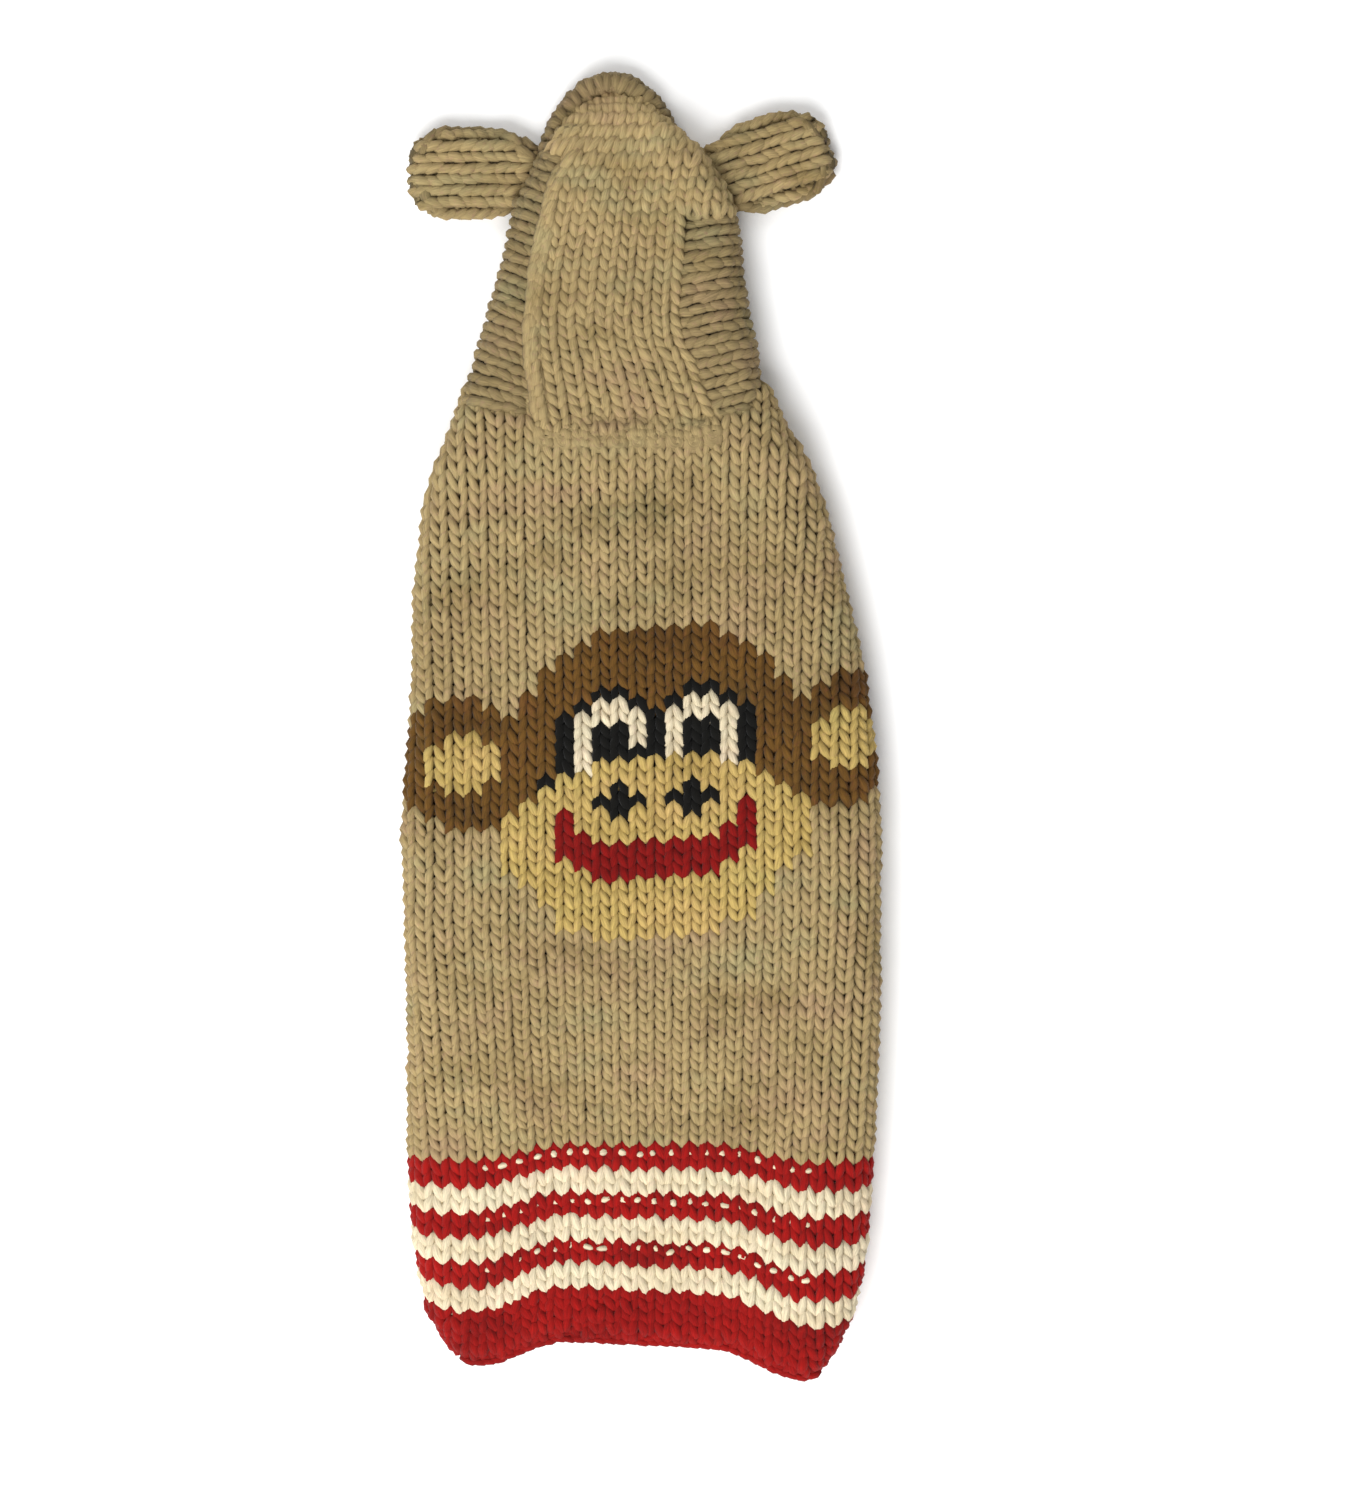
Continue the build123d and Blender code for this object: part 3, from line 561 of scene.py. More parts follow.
# The web of yarn behind the stitches, as one thin sheet, darkened as painted shade in the gaps between the stitches
def web(name, rowsAt, spanAt, surface, materialAt, materials, depth=1.5, perWale=2, leaveOut=None):
    columns = 1 + perWale * max(int(spanAt(v)[1] - spanAt(v)[0]) for v in rowsAt)
    share = np.linspace(0, 1, columns)
    points, cells = [], []
    for v in rowsAt:
        first, last = spanAt(v)
        u = first + (last - first) * share
        vv = np.full_like(u, v)
        points.append(surface(u, vv, np.full_like(u, -depth)))
        cells.append(u)
    points = np.concatenate(points)
    i = np.arange(len(rowsAt) - 1)[:, None] * columns
    j = np.arange(columns - 1)[None, :]
    quads = np.stack([i + j, i + columns + j, i + columns + j + 1, i + j + 1], axis=-1).reshape(-1, 4)
    index, kept = [], []
    for r in range(len(rowsAt) - 1):
        middle = (rowsAt[r] + rowsAt[r + 1]) / 2
        for c in range(columns - 1):
            centre = (cells[r][c] + cells[r][c + 1]) / 2
            if leaveOut is None or not leaveOut(centre, middle):
                index.append(materialAt(centre, middle))
                kept.append(r * (columns - 1) + c)
    quads = quads[kept]
    corners = np.stack([np.tile(np.arange(columns), len(rowsAt)) / columns,
                        np.repeat(np.arange(len(rowsAt)), columns) / len(rowsAt)], axis=-1)
    uv = corners[quads.ravel()]
    return meshFrom(name, points, quads, [], {"OFBake": uv, "yarnWay": uv * 300},
                    np.full(len(points), webShade), materials, np.array(index))


# The knitted face, as a chart: first wale, last wale, first row, last row from the brow
faceRow = 23


def mirrored(blocks):
    return [(-last, -first, top, bottom) for first, last, top, bottom in blocks]


head = [(-3, 3, -6, 4), (-4, 4, -5, 5), (-5, 5, -4, 5), (-6, 6, -3, 6), (-7, 7, -1, 7), (-8, 8, 1, 8)]
muzzle = [(-3, 3, 5, 19), (-4, 4, 6, 18), (-5, 5, 6, 18), (-6, 6, 7, 16), (-7, 7, 8, 14), (-8, 8, 9, 13)]
earBlocks = [(8, 11, 1, 9), (9, 9, 0, 9), (10, 12, -1, 8), (13, 13, 0, 7), (14, 14, 1, 6)]
innerEar = [(9, 9, 3, 5), (10, 11, 2, 6), (12, 12, 3, 5)]
outline = [(1, 1, 0, 0), (2, 3, -1, -1), (4, 4, 0, 0), (5, 5, 1, 5)]
eyeWhite = [(2, 3, 0, 1), (4, 4, 1, 5), (1, 1, 1, 4)]
chart = [
    ("head_patch", head + earBlocks + mirrored(earBlocks)),
    ("ear_patch_left", mirrored(innerEar)),
    ("ear_patch_right", innerEar),
    ("muzzle_patch", muzzle),
    ("mouth_patch", [(-3, 3, 12, 14), (-4, -4, 11, 13), (4, 4, 11, 13), (-5, -5, 9, 12), (5, 5, 9, 12)]),
    ("eye_white_left", mirrored(eyeWhite)),
    ("eye_white_right", eyeWhite),
    ("eye_outline_left", mirrored(outline) + [(-1, -1, 4, 4), (-6, -6, 6, 6)]),
    ("eye_outline_right", outline),
    ("eye_bridge", [(0, 0, 1, 4)]),
    ("pupil_left", [(-3, -2, 2, 4)]),
    ("pupil_right", [(2, 3, 2, 4)]),
    ("nostril_left", [(-2, -2, 7, 9), (-3, -1, 8, 8)]),
    ("nostril_right", [(2, 2, 7, 9), (1, 3, 8, 8)]),
]
stripeRow, hemRow = 63, 75
faceCells = {}
for piece, blocks in chart:
    for first, last, top, bottom in blocks:
        for column in range(first, last + 1):
            for row in range(faceRow + top, faceRow + bottom + 1):
                faceCells[(column, row)] = piece


# Which piece a stitch of the back belongs to; the rest of the back is knitted in three lengths
def pieceAt(column, row):
    if row < 1:
        middle = row == 0 and neckBand[0] <= column <= neckBand[1]
        return "neck_seam" if middle else ("neck_seam", 1) if row == 0 else ("back_panel", 0)
    if row >= hemRow:
        return "hem_band"
    if row >= stripeRow:
        stripe = (row - stripeRow) // 2
        return f"{('red', 'white')[stripe % 2]}_stripe_{stripe // 2 + 1}"
    return faceCells.get((column, row), ("back_panel", 0 if row < 21 else 1 if row < 42 else 2))


def colourOf(piece):
    if piece == "head_patch":
        return "brown"
    if piece in ("muzzle_patch", "ear_patch_left", "ear_patch_right"):
        return "cream"
    if piece in ("mouth_patch", "hem_band", "belly_band") or str(piece).startswith("red"):
        return "red"
    if str(piece).startswith(("white", "eye_white")):
        return "white"
    if str(piece).startswith(("eye", "pupil", "nostril")):
        return "black"
    return "oatmeal"


# A single line of chained stitches along a path
def chainAlong(path, waleMm, rowMm, facing=1.0):
    path = np.array(path, float)
    gone = np.concatenate([[0], np.cumsum(np.linalg.norm(np.diff(path, axis=0), axis=1))])

    def at(a):
        return np.stack([np.interp(a, gone, path[:, k]) for k in range(3)], axis=-1)

    def surface(u, v, h):
        a = v * rowMm
        way = at(a + 1.5) - at(a - 1.5)
        way /= np.linalg.norm(way, axis=-1, keepdims=True) + 1e-9
        side = np.stack([way[..., 1], -way[..., 0], 0 * way[..., 0]], axis=-1) * -facing
        lifted = h - (u * waleMm) ** 2 / 14
        return at(a) + side * (u * waleMm)[..., None] + np.array([0, 0, facing]) * lifted[..., None]
    return surface, int(gone[-1] / rowMm)


# The joining row at the neck is picked up loosely: a thick and almost straight yarn
neckYarn = {
    "reach": 0.5, "yarnMm": 3.2, "depthMm": 0.1, "lean": 0.08, "plump": 0.06, "raise": 0.2, "seat": 0.55,
}
neckBand = (-6, 3)
bodyRuns = {}
lastRow = 80
for row in range(-3, lastRow):
    first, last = bodySpan(row + 0.5)
    runStart = first
    for column in range(first, last + 1):
        here = pieceAt(column, row)
        if column == last or pieceAt(column + 1, row) != here:
            bodyRuns.setdefault(here, []).append((row, runStart, column))
            runStart = column + 1
# The hem is felted, so its stitches hardly show, and the white wool is fluffier than the oatmeal
feltedYarn = {"reach": 0.9, "depthMm": 0.8, "yarnMm": 2.0, "wander": 0.09, "sunk": 0.05, "tone": 0.78}
fluffyYarn = {"yarnMm": 1.85, "depthMm": 1.5, "sunk": 0.05, "tone": 0.82}
stripeYarn = {"yarnMm": 1.75, "depthMm": 1.5, "sunk": 0.1}
pieceYarn = {
    "hem_band": feltedYarn,
    "mouth_patch": {"tone": 0.56, "yarnMm": 1.75, "sunk": 0.08},
    "neck_seam": neckYarn,
    "eye_white_left": {"tone": 0.78},
    "eye_white_right": {"tone": 0.78},
}
bodyPieces = []
for key, runs in bodyRuns.items():
    node = key if isinstance(key, str) else key[0]
    if key == "neck_seam":
        runs = runs + [(row + 0.62, first, last) for row, first, last in runs]
    plain = {"seat": 1.0}
    label = f"{node}_stitches" if isinstance(key, str) else f"{node}_stitches_{key[1] + 1}"
    if node.startswith("white_stripe"):
        plain |= fluffyYarn
    if node.startswith("red_stripe"):
        plain |= stripeYarn
    piece = knit(label, runs, bodySurface, wool[colourOf(key)], **plain | pieceYarn.get(key, {}))
    bodyPieces.append(settle(piece, [node], colourOf(key), "torso"))
# The white yarn carried behind the red stripes peeps out in the middle of their stitches
carriedYarn = {
    "reach": 0.1, "yarnMm": 0.9, "depthMm": 1.5, "lean": 0.05, "plump": 0.5, "taper": 0.0, "bias": 0.0,
    "raise": 1.15, "wander": 0.12, "seat": 0.0, "points": 10, "sides": 6,
}
for stripe in range(3):
    row = 64.15 + 4 * stripe
    piece = knit(f"carried_white_yarn_{stripe + 1}", [(row, -5, 4)],
                 lambda u, v, h: bodySurface(2 * u + 0.5, v, h), wool["white"], **carriedYarn)
    bodyPieces.append(settle(piece, [f"red_stripe_{stripe + 1}"], "white", "torso"))
# The cast-off chain along the hem's edge, as far as it is seen from above
castOff = {"fromWale": -11.4, "toWale": 9.6, "row": 80.1, "lift": 1.4, "stitchMm": 4.4, "spots": 60}
edgeWales = np.linspace(castOff["fromWale"], castOff["toWale"], castOff["spots"])
hemEdge = bodySurface(edgeWales, np.full(castOff["spots"], castOff["row"]),
                      np.full(castOff["spots"], castOff["lift"]))
surface, rows = chainAlong(hemEdge, castOff["stitchMm"], castOff["stitchMm"])
piece = knit("hem_cast_off", [(row, 0, 0) for row in range(rows)], surface, wool["red"],
             depthMm=0.5, yarnMm=1.45, tone=0.8)
bodyPieces.append(settle(piece, ["hem_band"], "red", "torso"))
webNames = list(wools)
rowsAt = np.concatenate([np.arange(-2, 78, 1.0), np.arange(78, 81.01, 0.5)])
backWeb = web("back_web", rowsAt, lambda v: [c + d for c, d in zip(bodySpan(v), (-0.4, 0.4))],
              bodySurface, lambda u, v: webNames.index(colourOf(pieceAt(round(u), int(v)))),
              [wool[n] for n in webNames])
settle(backWeb, [], "oatmeal", "torso")


# The size a piece was knitted to, from its stitch count
def flatOf(runs, waleMm, rowMm):
    wales = max(last for _, _, last in runs) - min(first for _, first, _ in runs) + 1
    rows = len({row for row, _, _ in runs})
    stitches = sum(last - first + 1 for _, first, last in runs)
    width, length = wales * waleMm * mm, rows * rowMm * mm
    return (width, length), min(stitches * waleMm * rowMm * mm * mm, width * length)


knittedTo = {"waleMm": 7.6, "rowMm": 4.8}
declared = [(backWeb, "laid", ["belly_web"], bodyPieces,
             flatOf(sum(bodyRuns.values(), []), knittedTo["waleMm"], knittedTo["rowMm"]))]
print("back knitted", sum(len(o.data.polygons) for o in bodyPieces))

# Belly, leg holes and side seams
bellySet = {"height": 4.0, "rowMm": 4.9, "waleMm": 7.6, "seamInset": 2.0, "bandRows": 3, "holeShrink": 6.0}
legRoll = {"inset": 5.0, "height": 5.0, "radius": 2.0, "wales": 19, "rows": 3, "rowMm": 4.4}
sideSeam = {"height": 2.9, "waleMm": 6.4, "rowMm": 5.0, "spots": 14, "startMm": 4}
underYarn = {"points": 10, "sides": 6}
legHoles = [(np.array(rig.box(f"leg_band_{side}")) / mm) for side in ("left", "right")]
legOvals = [((low + high) / 2, (high - low) / 2) for low, high in legHoles]
bellyRows = int(round((neckY - bandEdge) / bellySet["rowMm"]))


def bellySurface(u, v, h):
    x = bodySet["motifShift"] + u * bellySet["waleMm"]
    y = neckY - v * bellySet["rowMm"]
    roll = np.maximum(v - bellyRows + 1, 0.0)
    return np.stack([x, y + 0 * x, bellySet["height"] + 1.2 * roll - h + 0 * x], axis=-1)


def bellySpan(v):
    y = neckY - v * bellySet["rowMm"]
    inset = bodySet["sideWrap"] - bellySet["seamInset"]
    left = -(float(bodyReach(y, "left")) - inset) - bodySet["motifShift"]
    right = float(bodyReach(y, "right")) - inset - bodySet["motifShift"]
    return left / bellySet["waleMm"], right / bellySet["waleMm"]


def inLegHole(u, v):
    spot = bellySurface(np.float64(u), np.float64(v), 0.0)
    shrink = bellySet["holeShrink"]
    return any(math.hypot((spot[0] - middle[0]) / (reach[0] - shrink),
                          (spot[1] - middle[1]) / (reach[1] - shrink)) < 1
               for middle, reach in legOvals)


bellyRuns = {"belly_panel": [], "belly_band": [], "neck_seam": []}
for row in range(bellyRows):
    low, high = bellySpan(row + 0.5)
    lastPart = "belly_band" if row >= bellyRows - bellySet["bandRows"] else "belly_panel"
    part = "neck_seam" if row == 0 else lastPart
    runStart = None
    for column in range(math.ceil(low + 0.4), math.floor(high - 0.4) + 2):
        free = column > high - 0.4 or inLegHole(column, row + 0.5)
        if free and runStart is not None:
            bellyRuns[part].append((row, runStart, column - 1))
            runStart = None
        elif not free and runStart is None:
            runStart = column
bellyPieces = []
for part, runs in bellyRuns.items():
    colour = "red" if part == "belly_band" else "oatmeal"
    piece = knit(f"{part}_underside", runs, bellySurface, wool[colour], **underYarn)
    bellyPieces.append(settle(piece, [part], colour, "torso"))


def bellyWebMaterial(u, v):
    return webNames.index("red" if v > bellyRows - bellySet["bandRows"] else "oatmeal")


bellyWeb = web("belly_web", np.arange(0, bellyRows + 0.01, 0.5), bellySpan, bellySurface,
               bellyWebMaterial, [wool[n] for n in webNames], leaveOut=inLegHole)
settle(bellyWeb, [], "oatmeal", "torso")
declared.append((bellyWeb, "laid", [], bellyPieces,
                 flatOf(sum(bellyRuns.values(), []), bellySet["waleMm"], bellySet["rowMm"])))


# A roll of knitting along an oval, as round a hole
def ovalRoll(middle, reach, height, radius, wales, rowMm):
    def surface(u, v, h):
        phi = 2 * math.pi * u / wales
        psi = v * rowMm / radius
        outward = np.stack([np.cos(phi) * reach[1], np.sin(phi) * reach[0]], axis=-1)
        outward /= np.linalg.norm(outward, axis=-1, keepdims=True)
        across = (radius + h) * np.cos(psi)
        x = middle[0] + reach[0] * np.cos(phi) + outward[..., 0] * across
        y = middle[1] + reach[1] * np.sin(phi) + outward[..., 1] * across
        return np.stack([x, y, height + (radius + h) * np.sin(psi)], axis=-1)
    return surface


for side, (middle, reach) in zip(("left", "right"), legOvals):
    surface = ovalRoll(middle, reach - legRoll["inset"], legRoll["height"], legRoll["radius"],
                       legRoll["wales"], legRoll["rowMm"])
    runs = [(row, 0, legRoll["wales"] - 1) for row in range(legRoll["rows"])]
    piece = knit(f"leg_band_{side}_roll", runs, surface, wool["oatmeal"], **underYarn, yarnMm=1.5)
    settle(piece, [f"leg_band_{side}"], "oatmeal", "torso")
for side, sign in (("left", -1), ("right", 1)):
    ys = np.linspace(neckY - sideSeam["startMm"], bandEdge, sideSeam["spots"])
    path = [(sign * (float(bodyReach(y, side)) - bodySet["sideWrap"]), y, sideSeam["height"]) for y in ys]
    surface, rows = chainAlong(path, sideSeam["waleMm"], sideSeam["rowMm"], facing=-1.0)
    piece = knit(f"side_seam_{side}_stitches", [(row, 0, 0) for row in range(rows)], surface,
                 wool["oatmeal"], **underYarn, depthMm=0.9, yarnMm=1.5)
    settle(piece, [f"side_seam_{side}"], "oatmeal", "torso")
print("underside knitted")

# Lines of the hood, each point as x in the frame and y up from the neck
hoodLines = {
    "leftSeam": ((-43, 3), (-46, 24), (-47, 37), (-47, 46), (-45, 66), (-40, 90), (-36, 105), (-31, 114),
                 (-25, 122), (-19, 130)),
    "leftEdge": ((-76.5, 11), (-69, 35), (-66, 45), (-63.5, 54), (-58.5, 72), (-53, 96), (-46, 110),
                 (-42, 118), (-38, 125), (-34, 130)),
    "rightSeam": ((26.5, 1), (21, 18), (17.5, 28), (11, 36.5), (10.5, 44), (12.5, 56), (13.5, 66), (13, 80.5),
                  (11, 89), (9, 97)),
    "rightEdge": ((51, 9), (50.5, 25.5), (49, 35), (47, 43), (45.5, 50.5), (44, 62), (43, 71.5), (41.5, 85.5),
                  (39.5, 93.5), (37.5, 100)),
    "rightFan": ((27.5, 0), (21.5, 18), (18, 28), (13.5, 37), (12, 46), (13, 66), (14, 85), (15, 97),
                 (17, 110), (19, 125), (20, 146)),
    "rightOutline": ((52, 0), (46, 50), (42, 83), (40.5, 90), (37.5, 99), (31.5, 110), (26.5, 117), (21, 122),
                     (15, 128), (8.5, 134), (3, 139), (-2, 142), (-7, 146)),
    "leftOutline": ((-77, 0), (-60, 70), (-46, 110), (-34, 129), (-28, 136), (-22, 141), (-16, 145)),
}
hoodSet = {
    "half": 10.6, "rest": 3.5, "sideRound": 14.0, "edgeInset": 3.0, "rowMm": 4.78, "sideWaleMm": 9.1,
    "wales": 7.5, "waleMm": 7.4, "bendAt": 110.0, "bendLength": 31.0, "bendDrop": 0.8, "crownRound": 10.0,
    "seamEndY": 130,
}
bandMiddle = (bandLow + bandHigh) / 2
bandReach = (bandHigh - bandLow) / 2


def hoodHalf(y):
    return hoodSet["half"] * (1 - 0.42 * ease((y - 88) / 50))


def lineAt(name, at):
    line = np.array(hoodLines[name], float)
    return np.interp(at, line[:, 1], line[:, 0])


def sidePanel(side):
    seam = np.array(hoodLines[f"{side}Seam"], float)
    edge = np.array(hoodLines[f"{side}Edge"], float)
    gone = sum(np.concatenate([[0], np.cumsum(np.linalg.norm(np.diff(line, axis=0), axis=1))])
               for line in (seam, edge))
    gone = gone / 2 / hoodSet["sideWaleMm"]
    turned = -1.0 if side == "left" else 1.0

    def ends(u):
        a = np.stack([np.interp(u, gone, seam[:, k]) for k in (0, 1)], axis=-1)
        b = np.stack([np.interp(u, gone, edge[:, k]) for k in (0, 1)], axis=-1)
        return a, b

    def surface(v, u, h):
        start, end = ends(u)
        way = end - start
        size = np.linalg.norm(way, axis=-1)
        way = way / size[..., None]
        half = hoodHalf((start[..., 1] + end[..., 1]) / 2)
        reach = size - hoodSet["edgeInset"]
        roundness = np.minimum(hoodSet["sideRound"], reach * 0.75)
        s = 0.5 + v * hoodSet["rowMm"]
        out, z, nOut, nz = acrossTube(s, reach, half, roundness)
        plan = start + way * (out + nOut * h)[..., None]
        z = z + half + hoodSet["rest"] + nz * h
        dip = 2.2 * np.exp(-(s / 8) ** 2)
        if side == "right":
            dip = dip + ease((plan[..., 1] - 76) / 12) * (0.8 + 3.0 * np.exp(-(s / 11) ** 2))
        return np.stack([plan[..., 0], plan[..., 1] + neckY, z - dip * (nz > 0)], axis=-1)

    def lastRow(u):
        start, end = ends(np.float64(u))
        reach = np.linalg.norm(end - start) - hoodSet["edgeInset"]
        roundness = min(hoodSet["sideRound"], reach * 0.75)
        quarter = quarterRound(roundness, float(hoodHalf(end[1])))
        lift = (end[1] + neckY - bandMiddle[1]) / bandReach[1]
        inner = bandMiddle[0] + turned * bandReach[0] * math.sqrt(max(0.0, 1 - lift * lift))
        under = abs(end[0] - inner) - roundness + 1
        return (reach - roundness + 2 * quarter + max(under, 2.0)) / hoodSet["rowMm"]

    return surface, lastRow, gone[-1]


# Larger stitches whose legs lie almost along the wale, so that each reads as two ropes
ropeYarn = {"yarnMm": 1.95, "depthMm": 1.5, "lean": 0.185, "reach": 1.12, "bias": 0.03, "taper": 0.06}
# Side panels are knitted across: their wales run from the seam outward and round to the face opening
hingeLine = ("torso", [0, (neckY - 1) * mm, 0.015], [0, (neckY + 45) * mm, 0.015])
# painted shade: the side panels are drawn darker than the centre panel, for the shade on the hood's sides
for side, tone in (("left", 0.6), ("right", 0.64)):
    surface, lastRow, wales = sidePanel(side)
    count = int(wales)
    deepest = max(int(lastRow(u + 0.5)) for u in range(count))
    runs = []
    for row in range(deepest):
        fits = [u for u in range(count) if lastRow(u + 0.5) >= row + 0.5]
        if fits:
            runs.append((row, min(fits), max(fits)))
    piece = knit(f"hood_side_{side}_stitches", runs, lambda u, v, h, f=surface: f(v, u + 0.5, h),
                 wool["oatmeal"], **ropeYarn, tone=tone)
    settle(piece, [f"hood_side_{side}"], "oatmeal", "hood", hingeLine)
    cloth = web(f"hood_side_{side}_web", np.arange(0, count + 0.01, 0.5),
                lambda u, g=lastRow: (0.0, float(g(u))), surface, lambda u, v: 0, [wool["oatmeal"]])
    settle(cloth, [], "oatmeal", "hood", hingeLine)
    declared.append((cloth, "laid", ["belly_web"], [piece],
                     flatOf(runs, hoodSet["sideWaleMm"], hoodSet["rowMm"])))


# The middle panel follows its two seams, then bends down over the crown
def crownSurface(u, v, h):
    a = v * hoodSet["rowMm"]
    theta = np.clip((a - hoodSet["bendAt"]) / (0.8 * (hoodSet["bendLength"] + 15)), 0, 1.15) * math.pi / 2
    y = np.minimum(a, hoodSet["bendAt"]) + hoodSet["bendLength"] * np.sin(theta)
    half = hoodHalf(y) * (1 - hoodSet["bendDrop"] * (1 - np.cos(theta)))
    left, right = lineAt("leftSeam", np.minimum(y, hoodSet["seamEndY"])), lineAt("rightFan", y)
    x = left + u * (right - left) / hoodSet["wales"]
    middle = (lineAt("leftOutline", y) + lineAt("rightOutline", y)) / 2
    inset, roundness = hoodSet["edgeInset"], hoodSet["crownRound"]
    toRight = acrossTube(x - middle, lineAt("rightOutline", y) - inset - middle, half, roundness)
    toLeft = acrossTube(middle - x, middle - lineAt("leftOutline", y) - inset, half, roundness)
    onRight = x > middle
    px = middle + np.where(onRight, toRight[0], -toLeft[0])
    z = np.where(onRight, toRight[1], toLeft[1])
    nx = np.where(onRight, toRight[2], -toLeft[2])
    nz = np.where(onRight, toRight[3], toLeft[3])
    roll = 1.8 * np.exp(-((u + 0.1) / 0.55) ** 2) * (y < 118)
    bulge = 1.6 * np.exp(-((y - 106) / 15) ** 2) * ease((px + 2) / 12) + 0.8 * np.sin(px / 9 + y / 21)
    z = z + half + hoodSet["rest"] + (roll + bulge) * (nz > 0.2)
    return np.stack([px + nx * h, y + neckY + nz * np.sin(theta) * h, z + nz * np.cos(theta) * h], axis=-1)


def crownSpan(v):
    a = v * hoodSet["rowMm"]
    if a < 92:
        return 0.0, hoodSet["wales"] + 0.3
    y = min(a, hoodSet["bendAt"] + 22)
    left, right = float(lineAt("leftSeam", min(y, hoodSet["seamEndY"]))), float(lineAt("rightFan", y))
    pitch = (right - left) / hoodSet["wales"]
    outer = float(lineAt("rightOutline", y)) + 14 * float(ease((a - 89) / 8))
    inner = float(lineAt("leftOutline", y)) - 6 if a > 117 else left
    return (inner - left) / pitch, (outer - left) / pitch


crownRows = int((hoodSet["bendAt"] + 0.8 * (hoodSet["bendLength"] + 15)) / hoodSet["rowMm"]) + 1
runs = []
for row in range(crownRows):
    first, last = crownSpan(row + 0.5)
    runs.append((row, round(first), round(last - 0.5)))
# painted light: the centre panel's rows are drawn brighter towards the crown, for the light falling on it
centre = knit("hood_centre_stitches", runs, lambda u, v, h: crownSurface(u + 0.5, v, h), wool["oatmeal"],
              yarnMm=1.8, reach=-1.0, tone=0.84, rowTones=((14, 25), (1.0, 1.22)))
settle(centre, ["hood_centre_panel"], "oatmeal", "hood", hingeLine)
centreWeb = web("hood_centre_web", np.arange(0, crownRows + 0.01, 0.5), crownSpan, crownSurface,
                lambda u, v: 0, [wool["oatmeal"]])
settle(centreWeb, [], "oatmeal", "hood", hingeLine)
declared.append((centreWeb, "laid", ["hood_side_left_web"], [centre],
                 flatOf(runs, hoodSet["waleMm"], hoodSet["rowMm"])))

# The raised seams, which sink where the crown bends down; the left one stands out more
seamSet = {
    "left": {"shift": 1.4, "ridge": 1.6, "waleMm": 6.4, "yarnMm": 2.15},
    "right": {"shift": 1.2, "ridge": -1.0, "waleMm": 4.6, "yarnMm": 1.5},
    "rowMm": 4.8, "sinkFrom": 104, "sink": 0.5, "endY": 120,
}
for side in ("left", "right"):
    own = seamSet[side]
    path = []
    for x, y in np.array(hoodLines[f"{side}Seam"], float):
        height = hoodSet["rest"] + 2 * float(hoodHalf(y)) + own["ridge"]
        height = height - seamSet["sink"] * max(0.0, y - seamSet["sinkFrom"])
        if y < seamSet["endY"]:
            path.append((x + own["shift"], y + neckY, height))
    surface, rows = chainAlong(path, own["waleMm"], seamSet["rowMm"])
    piece = knit(f"hood_seam_{side}_stitches", [(row, 0, 0) for row in range(rows)], surface,
                 wool["oatmeal"], depthMm=0.5, yarnMm=own["yarnMm"], reach=-1.2, lean=0.12)
    settle(piece, [f"hood_seam_{side}"], "oatmeal", "hood", hingeLine)

hoodRoll = {"inset": 5.0, "height": 6.2, "radius": 2.5, "wales": 32, "rows": 3, "rowMm": 5.2}
surface = ovalRoll(bandMiddle, bandReach - hoodRoll["inset"], hoodRoll["height"], hoodRoll["radius"],
                   hoodRoll["wales"], hoodRoll["rowMm"])
runs = [(row, 0, hoodRoll["wales"] - 1) for row in range(hoodRoll["rows"])]
# painted shade: the edge roll lies low at the brow, under the crown, and is drawn darker
piece = knit("hood_edge_roll", runs, surface, wool["oatmeal"], yarnMm=2.3, depthMm=1.3, tone=0.6)
settle(piece, ["hood_edge_band"], "oatmeal", "hood", hingeLine)
print("hood knitted")

# Ears, each from its sewn root outward; the middle of the two layers is middleMm up
earSet = {
    "left": {"rootX": 8.0, "rootY": -0.6, "turn": 180.5, "lining": (0.2, 1.6)},
    "right": {"rootX": -5.5, "rootY": -3.4, "turn": 17.5, "lining": (1.2, -1.6)},
    "length": 48.0, "endMm": 6.0, "waleMm": 9.3, "rowMm": 4.7, "wales": 4, "half": 2.7, "middleMm": 6.6,
    "edgeInset": 1.5, "sideRound": 4.0, "webReach": 2.1,
}
# painted shade: each ear's lining, facing the floor under the outer layer, is drawn darker than the outer layer
layerToneAndShade = {"outer": 0.82, "lining": 0.62}
rootSeam = {"back": 6.0, "lift": 0.5, "halfLength": 0.012, "waleMm": 4.5, "rowMm": 4.2}
# Half widths of an ear along its length
earWidths = ((0, 11.5), (8, 15.0), (18, 17.0), (30, 17.7), (38, 16.8), (44, 14.5), (49, 11.0))


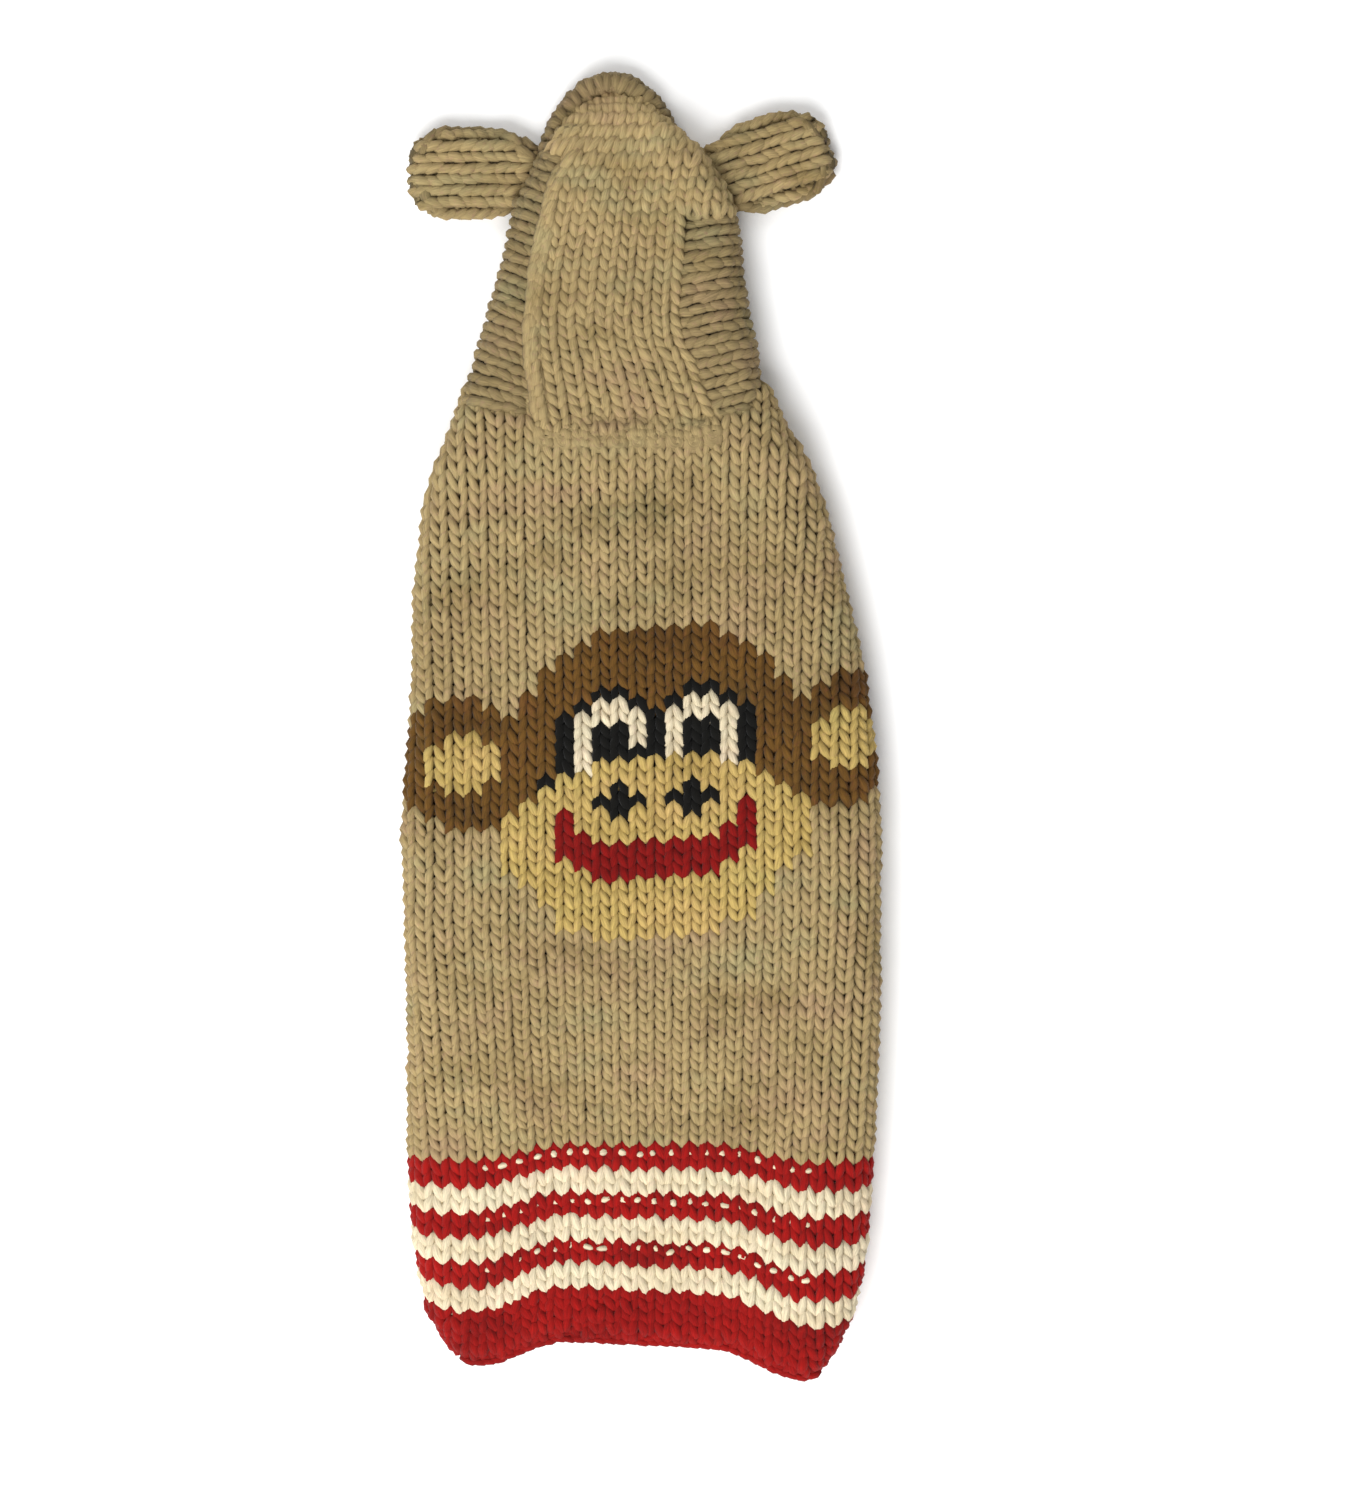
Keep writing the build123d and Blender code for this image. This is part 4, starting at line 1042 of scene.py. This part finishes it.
def earSurface(side, layer):
    own = earSet[side]
    root = np.array(hinges[f"ear_{side}_swing"]["pos_m"]) / mm
    turn = math.radians(own["turn"])
    way, across = np.array([math.cos(turn), math.sin(turn)]), np.array([-math.sin(turn), math.cos(turn)])
    offset = np.array(own["lining"]) if layer == "lining" else np.zeros(2)
    up = -1.0 if layer == "lining" else 1.0

    def surface(u, v, h):
        a = v * earSet["rowMm"]
        bend = earSet["length"] - earSet["endMm"]
        theta = np.clip((a - bend) / 7.5, 0, 1.2) * math.pi / 2
        along = np.minimum(a, bend) + earSet["endMm"] * np.sin(theta)
        half = earSet["half"] * np.maximum(np.cos(theta), 0.12) * (0.75 + 0.25 * ease(along / 12))
        s = u * earSet["waleMm"]
        reach = between(earWidths, along) - earSet["edgeInset"]
        out, z, nOut, nz = acrossTube(np.abs(s), reach, half, earSet["sideRound"])
        sign = np.sign(s)
        flat = root[:2] + [own["rootX"], own["rootY"]] + offset
        plan = flat + way * (along + nz * np.sin(theta) * h)[..., None]
        plan = plan + across * (sign * (out + nOut * h))[..., None]
        sag = 0.5 * np.sin(along / 9) * np.cos(s / 9)
        z = earSet["middleMm"] + up * (z + nz * np.cos(theta) * h) + sag
        return np.stack([plan[..., 0], plan[..., 1], z], axis=-1)
    return surface


for side in ("left", "right"):
    root = np.array(hinges[f"ear_{side}_swing"]["pos_m"])
    turn = math.radians(earSet[side]["turn"])
    away = np.array([math.cos(turn), math.sin(turn), 0.0])
    bend = ("hood", list(root - away * 0.004), list(root + away * 0.006))
    for layer in ("outer", "lining"):
        surface = earSurface(side, layer)
        rows = int(earSet["length"] / earSet["rowMm"]) + 1
        runs = [(row, 0, earSet["wales"] - 1) for row in range(rows)]
        piece = knit(f"ear_{side}_{layer}_stitches", runs,
                     lambda u, v, h, f=surface: f(u - (earSet["wales"] - 1) / 2, v, h), wool["oatmeal"],
                     **ropeYarn, tone=layerToneAndShade[layer])
        settle(piece, [f"ear_{side}_{layer}"], "oatmeal", f"ear_{side}", bend)
        cloth = web(f"ear_{side}_{layer}_web", np.arange(0, rows + 0.01, 0.5),
                    lambda v: (-earSet["webReach"], earSet["webReach"]), surface, lambda u, v: 0,
                    [wool["oatmeal"]], depth=0.8)
        settle(cloth, [], "oatmeal", f"ear_{side}", bend)
        declared.append((cloth, "laid", [], [piece], flatOf(runs, earSet["waleMm"], earSet["rowMm"])))
    axis = np.array(hinges[f"ear_{side}_swing"]["axis"])
    ends = [(root - axis * rootSeam["halfLength"]) / mm, (root + axis * rootSeam["halfLength"]) / mm]
    path = [end - away * rootSeam["back"] + np.array([0, 0, rootSeam["lift"]]) for end in ends]
    surface, rows = chainAlong(path, rootSeam["waleMm"], rootSeam["rowMm"])
    piece = knit(f"ear_root_seam_{side}_stitches", [(row, 0, 0) for row in range(rows)], surface,
                 wool["oatmeal"], yarnMm=1.3, depthMm=0.8)
    settle(piece, [f"ear_root_seam_{side}"], "oatmeal", "hood")
print("ears knitted")

for cloth, held, restsOn, pieces, (flat, area) in declared:
    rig.sheet(cloth, flat=flat, held=held, rests_on=restsOn, area=area, with_pieces=pieces)


# Camera, light and floor
cameraSet = {"farMm": 2400.0, "focusMm": 25, "frameMm": 565.3, "rightMm": 13.4, "upMm": -12.6}
lamps = {
    "windowLight": {"place": (-1.5, 1.9, 2.0), "size": 1.9, "power": 38.0},
    "tailFill": {"place": (-0.6, -1.7, 2.0), "size": 2.1, "power": 102.0},
}
stageSet = {"worldStrength": 0.42, "floorSize": 12, "floorGap": 0.0004, "paperRoughness": 0.9}


def lookFrom(obj, place, target):
    direction = np.array(target) - np.array(place)
    obj.location = place
    obj.rotation_euler = Vector(direction).to_track_quat("-Z", "Y").to_euler()


def makeStage():
    camera = bpy.data.objects.new("camera", bpy.data.cameras.new("camera"))
    bpy.context.scene.collection.objects.link(camera)
    camera.location = (cameraSet["rightMm"] * mm, cameraSet["upMm"] * mm, cameraSet["farMm"] * mm)
    camera.data.sensor_fit = "HORIZONTAL"
    away = cameraSet["farMm"] - cameraSet["focusMm"]
    camera.data.lens = camera.data.sensor_width * away / cameraSet["frameMm"]
    camera.data.clip_end = 20
    bpy.context.scene.camera = camera
    for name, lamp in lamps.items():
        light = bpy.data.objects.new(name, bpy.data.lights.new(name, "AREA"))
        light.data.size = lamp["size"]
        light.data.energy = lamp["power"]
        bpy.context.scene.collection.objects.link(light)
        lookFrom(light, lamp["place"], (0, 0, 0))
    world = bpy.data.worlds.new("soft_white")
    bpy.context.scene.world = world
    world.use_nodes = True
    background = world.node_tree.nodes["Background"]
    background.inputs["Color"].default_value = toLinear("ffffff")
    background.inputs["Strength"].default_value = stageSet["worldStrength"]
    bpy.ops.mesh.primitive_plane_add(size=stageSet["floorSize"],
                                     location=(0, 0, backLow[2] * mm - stageSet["floorGap"]))
    floor = bpy.context.object
    floor.name = "floor"
    paint = bpy.data.materials.new("white_paper")
    paint.use_nodes = True
    paper = paint.node_tree.nodes["Principled BSDF"]
    paper.inputs["Base Color"].default_value = toLinear("ffffff")
    paper.inputs["Roughness"].default_value = stageSet["paperRoughness"]
    floor.data.materials.append(paint)
    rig.stage(floor)
    bpy.context.scene.view_settings.view_transform = "Standard"


makeStage()
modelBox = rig.bounds()
sizes = {"cad": [list(corner) for corner in cadBox], "visual": [list(corner) for corner in modelBox]}
with open("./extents.json", "w") as sizeFile:
    json.dump(sizes, sizeFile)
